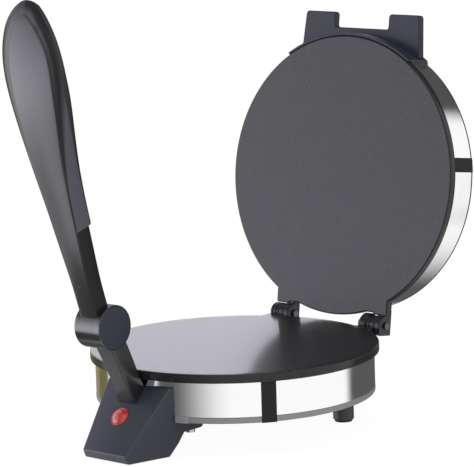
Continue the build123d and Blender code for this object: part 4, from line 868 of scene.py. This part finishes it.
plate = {"radius": 120.0, "lip": 7.4, "upperLip": 7.0, "thick": 5.0, "lipWidth": 10.0, "round": 1.2,
         "gap": 0.5, "tabEnd": 114.0, "tabMore": 1.6, "tabStep": (45.6, 47.6), "lug": 0.4,
         "hump": 9.3, "grooves": (0.3, 0.6, 0.85), "grooveHalf": 0.65, "grooveDeep": 0.75,
         "stopWidth": 4.3, "stop": ((1.93, 9.37), (1.93, 0.0), (8.56, 0.0), (8.56, 8.4))}


def hingeSpans():
    # across the frame, for each hinge: the plate's knuckle, then the lid's ear
    reach = hinge["far"] - hinge["near"]
    for start in (-hinge["far"], hinge["near"]):
        earLow = start + reach - hinge["earWidth"]
        yield (start, earLow - 0.3), (earLow, start + reach)


def makeLowerPlate(user):
    # turned plate with a hinge lug, a grooved knuckle and a stop at each hinge
    shape, r, lip = Shape(), user["radius"], user["lip"]
    y, z, k = hinge["y"], hinge["z"], hinge["knuckle"]
    profile = rounded([(0, 0), (r - 6, 0), (r, 0), (r, -lip), (r - user["lipWidth"], -lip),
                       (r - user["lipWidth"], -user["thick"]), (0, -user["thick"])],
                      [0, 0, user["round"], 0.7, 0.5, 0, 0], False, 8)
    turnedShape(shape, profile, steps=360)
    for (low, high), _ in hingeSpans():
        slab(shape, [(low, r - 22), (high, r - 22), (high, y), (low, y)], -lip + 0.02, -user["lug"], 0.6)
        stop = high - user["stopWidth"]
        grooves = [low + share * (stop - low) for share in user["grooves"]]
        if low < 0:
            corners, radii = [(2.6, low), (k, low)], [0, 1.6]
        else:
            # the right-hand lug flares inwards, and its knuckle starts with a cone and a hump
            flare = rounded([(low - 6.5, r - 11), (low + 1, r - 11), (low + 1, r + 1.5), (low, r + 0.5),
                             (low - 6.5, r - 5.4)], [0, 0, 0, 2.0, 1.0])
            slab(shape, flare, -lip + 0.04, -user["lug"] - 0.02, 0.5)
            corners = [(2.6, low - 6.5), (3.4, low - 6.5), (user["hump"], low - 0.5),
                       (user["hump"], low + 5.2), (k, low + 5.6)]
            radii = [0, 0.8, 1.2, 0.6, 0.2]
            grooves = grooves[1:]
        for x in grooves:
            wide, deep = user["grooveHalf"], k - user["grooveDeep"]
            corners += [(k, x - wide), (deep, x - 0.35), (deep, x + 0.35), (k, x + wide)]
            radii += [0.25, 0.15, 0.15, 0.25]
        corners += [(k, high), (2.6, high)]
        radii += [0.5, 0]
        shape.take(turnedShape(Shape(), rounded(corners, radii, steps=5), steps=72, axis="x", closed=True),
                   (0, y, z))
        block = np.array(user["stop"]) + (y, z)
        slab(shape, rounded(block, [0.5, 0, 0, 0.5]), stop, high, 0.3, "yz")
    return makePiece("lowerPlate", shape, "base", "plate_coating", ["lower_plate"], sharp=40.0)


def tabbedOutline(user):
    # circle with two square tabs at the back, anticlockwise from the right-hand tab
    r, far, end = user["radius"], hinge["far"], user["tabEnd"]
    inner, outer = np.arccos(end / r), end + user["tabMore"]
    near, step = user["tabStep"]
    right = rounded([(far, np.sqrt(r * r - far * far) - 2.0), (far, outer), (step, outer), (near, end),
                     (r * np.sin(inner), end)], [0, 1.5, 0, 0, 0], False)[1:]
    left = right[::-1] * (-1, 1)
    back = onCircle(r, np.linspace(pi / 2 - inner, pi / 2 + inner, 40)[1:-1])
    start = np.arctan2(np.sqrt(r * r - far * far), far)
    front = onCircle(r, np.linspace(pi - start, 2 * pi + start, 300))
    return np.vstack([right, back, left, front])


def makeUpperPlate(user):
    # slab with rounded edges, and at each hinge an ear with a round lower front corner
    shape = Shape()
    low, high = user["gap"], user["gap"] + user["upperLip"]
    slab(shape, tabbedOutline(user), low, high, user["round"], steps=7)
    y, z, ear = hinge["y"], hinge["z"], hinge["ear"]
    under = onCircle(ear, np.linspace(-pi, -pi / 2, 14)[:-1]) + (y, z)
    front = [(y - 13.0, high - 0.03), (y - 13.0, low + 0.03), (y - ear - 0.4, low + 0.03)]
    rear = [(y + 1.0, z - ear), (y + ear, z - ear), (y + ear, high - 0.03)]
    corners = np.vstack([front, under, rear])
    radii = [0] * (len(corners) - 2) + [3.0, 1.0]
    for _, (near, far) in hingeSpans():
        slab(shape, rounded(corners, radii), near, far - 0.05, 0.5, "yz", 4)
    return makePiece("upperPlate", shape, "lid", "plate_coating", ["upper_plate"], opened, 40.0)


band = {"radius": 116.0, "thick": 0.8, "low": -35.9, "high": -7.5, "lidLow": 7.6, "lidHigh": 34.4}


def makeBands(user):
    # thin upright strips turned about the middle
    for name, body, low, high, node, place in (
            ("baseBand", "base", user["low"], user["high"], "base_band", None),
            ("lidBand", "lid", user["lidLow"], user["lidHigh"], "lid_band", opened)):
        r, t = user["radius"], user["thick"]
        profile = rounded([(r - t, low), (r, low), (r, high), (r - t, high)], [0, 0.3, 0.3, 0], steps=4)
        shape = turnedShape(Shape(), profile, steps=480, closed=True)
        makePiece(name, shape, body, "bright_band", [node], place, 12.0)


ringProfile = [(108.8, -41.1), (114.6, -41.1), (116.2, -40.4), (116.2, -36.6), (115.4, -35.98),
               (112.8, -35.98), (112.8, -40.5), (108.8, -40.5)]


def makeRing(corners):
    # rolled bead over a short straight skirt
    profile = rounded(corners, [0, 0.9, 1.0, 0.7, 0.3, 0, 0, 0], steps=6)
    shape = turnedShape(Shape(), profile, steps=480, closed=True)
    return makePiece("baseRing", shape, "base", "rolled_ring", ["base_ring"], sharp=50.0)


# fork: a curved strip on the lid's band with a bridge and two lifting ears

fork = {"stripIn": 116.12, "stripOut": 122.5, "half": 33.0, "low": 1.0, "high": 31.0, "chamfer": 4.0,
        "ledge": (120.3, 7.8), "earLow": 17.2, "earThick": 6.5, "earIn": 29.5, "earRound": 3.2, "tip": 62.4,
        "root": 65.2, "rootY": -104.2, "tipY": -140.5, "bridgeY": -127.3, "seat": 118.5, "seatHalf": 28.6}


def makeFork(user):
    # strip: a profile turned through part of a circle; bridge and ears: one flat slab
    shape = Shape()
    inner, out, (ledgeOut, ledgeTop) = user["stripIn"], user["stripOut"], user["ledge"]
    top, cut = user["high"], user["chamfer"]
    corners = [(inner, ledgeTop), (ledgeOut, ledgeTop), (ledgeOut, user["low"]), (out, user["low"]),
               (out, top - cut), (out - cut, top), (inner, top)]
    profile = rounded(corners, [0, 0.2, 0.5, 0.7, 1.2, 1.2, 0.4], steps=5)
    turnedShape(shape, profile, -90 - user["half"], -90 + user["half"], 120, closed=True)
    half = user["seatHalf"]
    seat = onCircle(user["seat"], np.radians(np.linspace(-90 + half, -90 - half, 40)))
    right = [(user["earIn"], user["bridgeY"]), (user["earIn"], user["tipY"]), (user["tip"], user["tipY"]),
             (user["root"], user["rootY"])]
    left = [(-x, y) for x, y in right[::-1]]
    bend = user["earRound"]
    outline = rounded(np.vstack([left, right, seat]), [0.8, bend, bend, 2.2, 2.2, bend, bend, 0.8] + [0] * 40)
    slab(shape, outline, user["earLow"], user["earLow"] + user["earThick"], 0.9, steps=5)
    return makePiece("lidFork", shape, "lid", "shell_plastic", ["lid_fork"], opened, 40.0)


makeLeverArm(lever)
makePivotCaps(leverDrum)
makeGripPad(lever)
makeGripScrews(gripScrew)
makeShankPlug(shankPlug)
print("lever made")
makePost(post)
makeHousing(housing)
makeLens(lens)
print("post and housing made")
makeLowerPlate(plate)
makeUpperPlate(plate)
makeBands(band)
makeRing(ringProfile)
makeFork(fork)
print("plates, bands and fork made")


# floor, studio walls and a painted shadow that only reflections see, and light

studio = {"floorTone": 0.80, "floorLift": 0.88, "floorGlow": 1.08, "ambient": 0.62, "surround": 1.04}
# lamps, which reflections don't show: place and aim in metres, width of the disc, watts
lamps = {"frontLight": ((-1.1, -1.5, 1.0), (0.0, 0.0, 0.05), 0.9, 7.0),
         "topLight": ((0.3, -0.2, 1.8), (0.0, 0.0, 0.0), 1.2, 5.0)}
# what reflections see of the room, painted one over another: azimuth from +X and elevation,
# each as (middle of an edge, its half width) in degrees, then the colour
cards = [
    ((70, 5), (128, 2), (-2, 6), (91, 1), (0.08, 0.08, 0.078)),
    ((57.5, 6), (128, 2), (-26, 6), (-2, 6), (0.10, 0.10, 0.10)),
    ((81, 27), (128, 2), (-91, 1), (-26, 6), (0.10, 0.10, 0.10)),
    ((123, 3), (152, 3), (1, 3), (60, 3), (1.52, 1.50, 1.66)),
    ((128, 3), (190, 1), (-91, 1), (-27, 5), (0.17, 0.17, 0.17)),
    ((128, 3), (170, 4), (-27, 5), (1, 3), (0.30, 0.27, 0.15)),
    ((160, 4), (190, 1), (-27, 5), (1, 3), (0.17, 0.145, 0.07)),
    ((-125, 6), (-76, 28), (-91, 1), (0, 8), (0.10, 0.10, 0.10)),
    ((-125, 6), (-76, 10), (0, 8), (91, 1), (0.30, 0.30, 0.32)),
    ((-191, 1), (-176, 4), (-27, 5), (1, 3), (0.17, 0.145, 0.07)),
    ((-191, 1), (-176, 4), (-91, 1), (-27, 5), (0.17, 0.17, 0.17)),
    ((-176, 4), (-125, 6), (-91, 1), (-22, 6), (0.85, 0.85, 0.89)),
    ((-168, 5), (-148, 7), (-48, 5), (-22, 5), (0.70, 0.70, 0.75)),
    ((-142, 6), (-122, 6), (-48, 6), (-20, 6), (1.60, 1.60, 1.70)),
    ((-160, 6), (-118, 6), (-20, 8), (12, 18), (3.10, 3.05, 3.45)),
    ((-191, 1), (-118, 6), (30, 5), (91, 1), (0.25, 0.25, 0.32)),
]
# painted shadow of the object on the floor, which only reflections see: centre and radius in mm, where its
# edge starts and ends as shares of the radius, and its level
reflectedShadow = {"centre": (-155.0, -270.0), "radius": 92.0, "edge": (0.75, 1.25), "level": 0.14}


def between(angle, low, high):
    # 1 between two soft edges, 0 outside them
    return (angle.step(low[0] - low[1], low[0] + low[1])
            * (1.0 - angle.step(high[0] - high[1], high[0] + high[1])))


def reflectedTone(finish, plain):
    # azimuth is taken from 10 degrees behind -X, so that its jump lies in a plain part
    way = finish.add("ShaderNodeTexCoord", output="Generated")
    x = finish.axis(way, "X")
    y, z = x.other("Y"), x.other("Z")
    ahead, aside = spun(x, y, radians(10.0))
    azimuth = aside.work("ARCTAN2", aside, ahead) * (180.0 / pi) - 10.0
    elevation = z.work("ARCSINE", z) * (180.0 / pi)
    tone = finish.mix(0.0, grey(plain), grey(plain))
    for left, right, low, high, colour in cards:
        share = between(azimuth, left, right) * between(elevation, low, high)
        tone = finish.mix(share, tone, colour + (1.0,))
    return tone


def stagePlane(name, level):
    # a square of the studio, 18 m wide, and its empty material
    mesh = bpy.data.meshes.new(name)
    mesh.from_pydata([(-9, -9, level), (9, -9, level), (9, 9, level), (-9, 9, level)], [], [(0, 1, 2, 3)])
    plane = addObject(name, mesh)
    material = bpy.data.materials.new(name)
    material.use_nodes = True
    mesh.materials.append(material)
    return plane, Finish(material.node_tree)


def areaLight(name, place, aim, width, watts):
    lamp = bpy.data.lights.new(name, "AREA")
    lamp.size, lamp.energy, lamp.shape = width, watts, "DISK"
    holder = addObject(name, lamp)
    holder.rotation_mode = "QUATERNION"
    holder.rotation_quaternion = (Vector(place) - Vector(aim)).to_track_quat("Z", "Y")
    holder.location = place
    holder.visible_glossy = False


def makeStudio(user):
    # floor: matte where light falls on it, lifted to white where the camera sees it
    ground = cadBox[0][2]
    floor, finish = stagePlane("floor", ground)
    floor.visible_glossy = False
    seenDirect = finish.add("ShaderNodeLightPath", output="Is Camera Ray")
    grain = finish.noise(finish.place(), 60.0, 2.0)
    tone = finish.mix(grain, grey(user["floorTone"]), grey(user["floorTone"] + 0.02))
    matte = finish.add("ShaderNodeBsdfDiffuse", None, {"Color": tone})
    white = finish.add("ShaderNodeEmission", None, {"Color": grey(1.0), "Strength": user["floorGlow"]})
    seen = finish.add("ShaderNodeMixShader", None, {0: seenDirect * user["floorLift"], 1: matte, 2: white})
    finish.show(seen)

    # just under it: a painted shadow of the object, seen only in reflections
    shade, finish = stagePlane("floorShade", ground - 0.5 * mm)
    shade.visible_camera = shade.visible_diffuse = shade.visible_shadow = False
    shade.visible_transmission = False
    clear = finish.add("ShaderNodeBsdfTransparent", None, {"Color": grey(1.0)})
    centre = tuple(part * mm for part in reflectedShadow["centre"]) + (0.0,)
    spread = (1.0 / (reflectedShadow["radius"] * mm),) * 2 + (0.0,)
    where = finish.vector("SUBTRACT", finish.add("ShaderNodeTexCoord", output="Object"), centre)
    reach = finish.vector("LENGTH", finish.vector("MULTIPLY", where, spread), output="Value")
    paintedShadowTone = finish.add("ShaderNodeEmission", None, {"Color": grey(reflectedShadow["level"]), "Strength": 1.0})
    edged = finish.add("ShaderNodeMixShader", None, {0: reach.step(*reflectedShadow["edge"]), 1: paintedShadowTone, 2: clear})
    finish.show(edged)

    # plain white for the camera, a dimmer white for light, the painted room for reflections
    world = bpy.data.worlds.new("world")
    bpy.context.scene.world = world
    world.use_nodes = True
    finish = Finish(world.node_tree)
    path = finish.add("ShaderNodeLightPath", output="Is Camera Ray")
    strength = path.work("MAXIMUM", path, path.other("Is Transmission Ray"))
    plain = user["ambient"] + (1.0 - user["ambient"]) * strength
    around = finish.add("ShaderNodeBackground", None, {"Color": grey(1.0), "Strength": plain})
    room = reflectedTone(finish, user["surround"])
    reflected = finish.add("ShaderNodeBackground", None, {"Color": room, "Strength": 1.0})
    sky = finish.add("ShaderNodeMixShader", None,
                     {0: path.other("Is Glossy Ray"), 1: around, 2: reflected})
    finish.show(sky, "ShaderNodeOutputWorld")
    for name, values in lamps.items():
        areaLight(name, *values)
    bpy.context.scene.view_settings.view_transform = "Standard"


makeStudio(studio)
print("studio made")
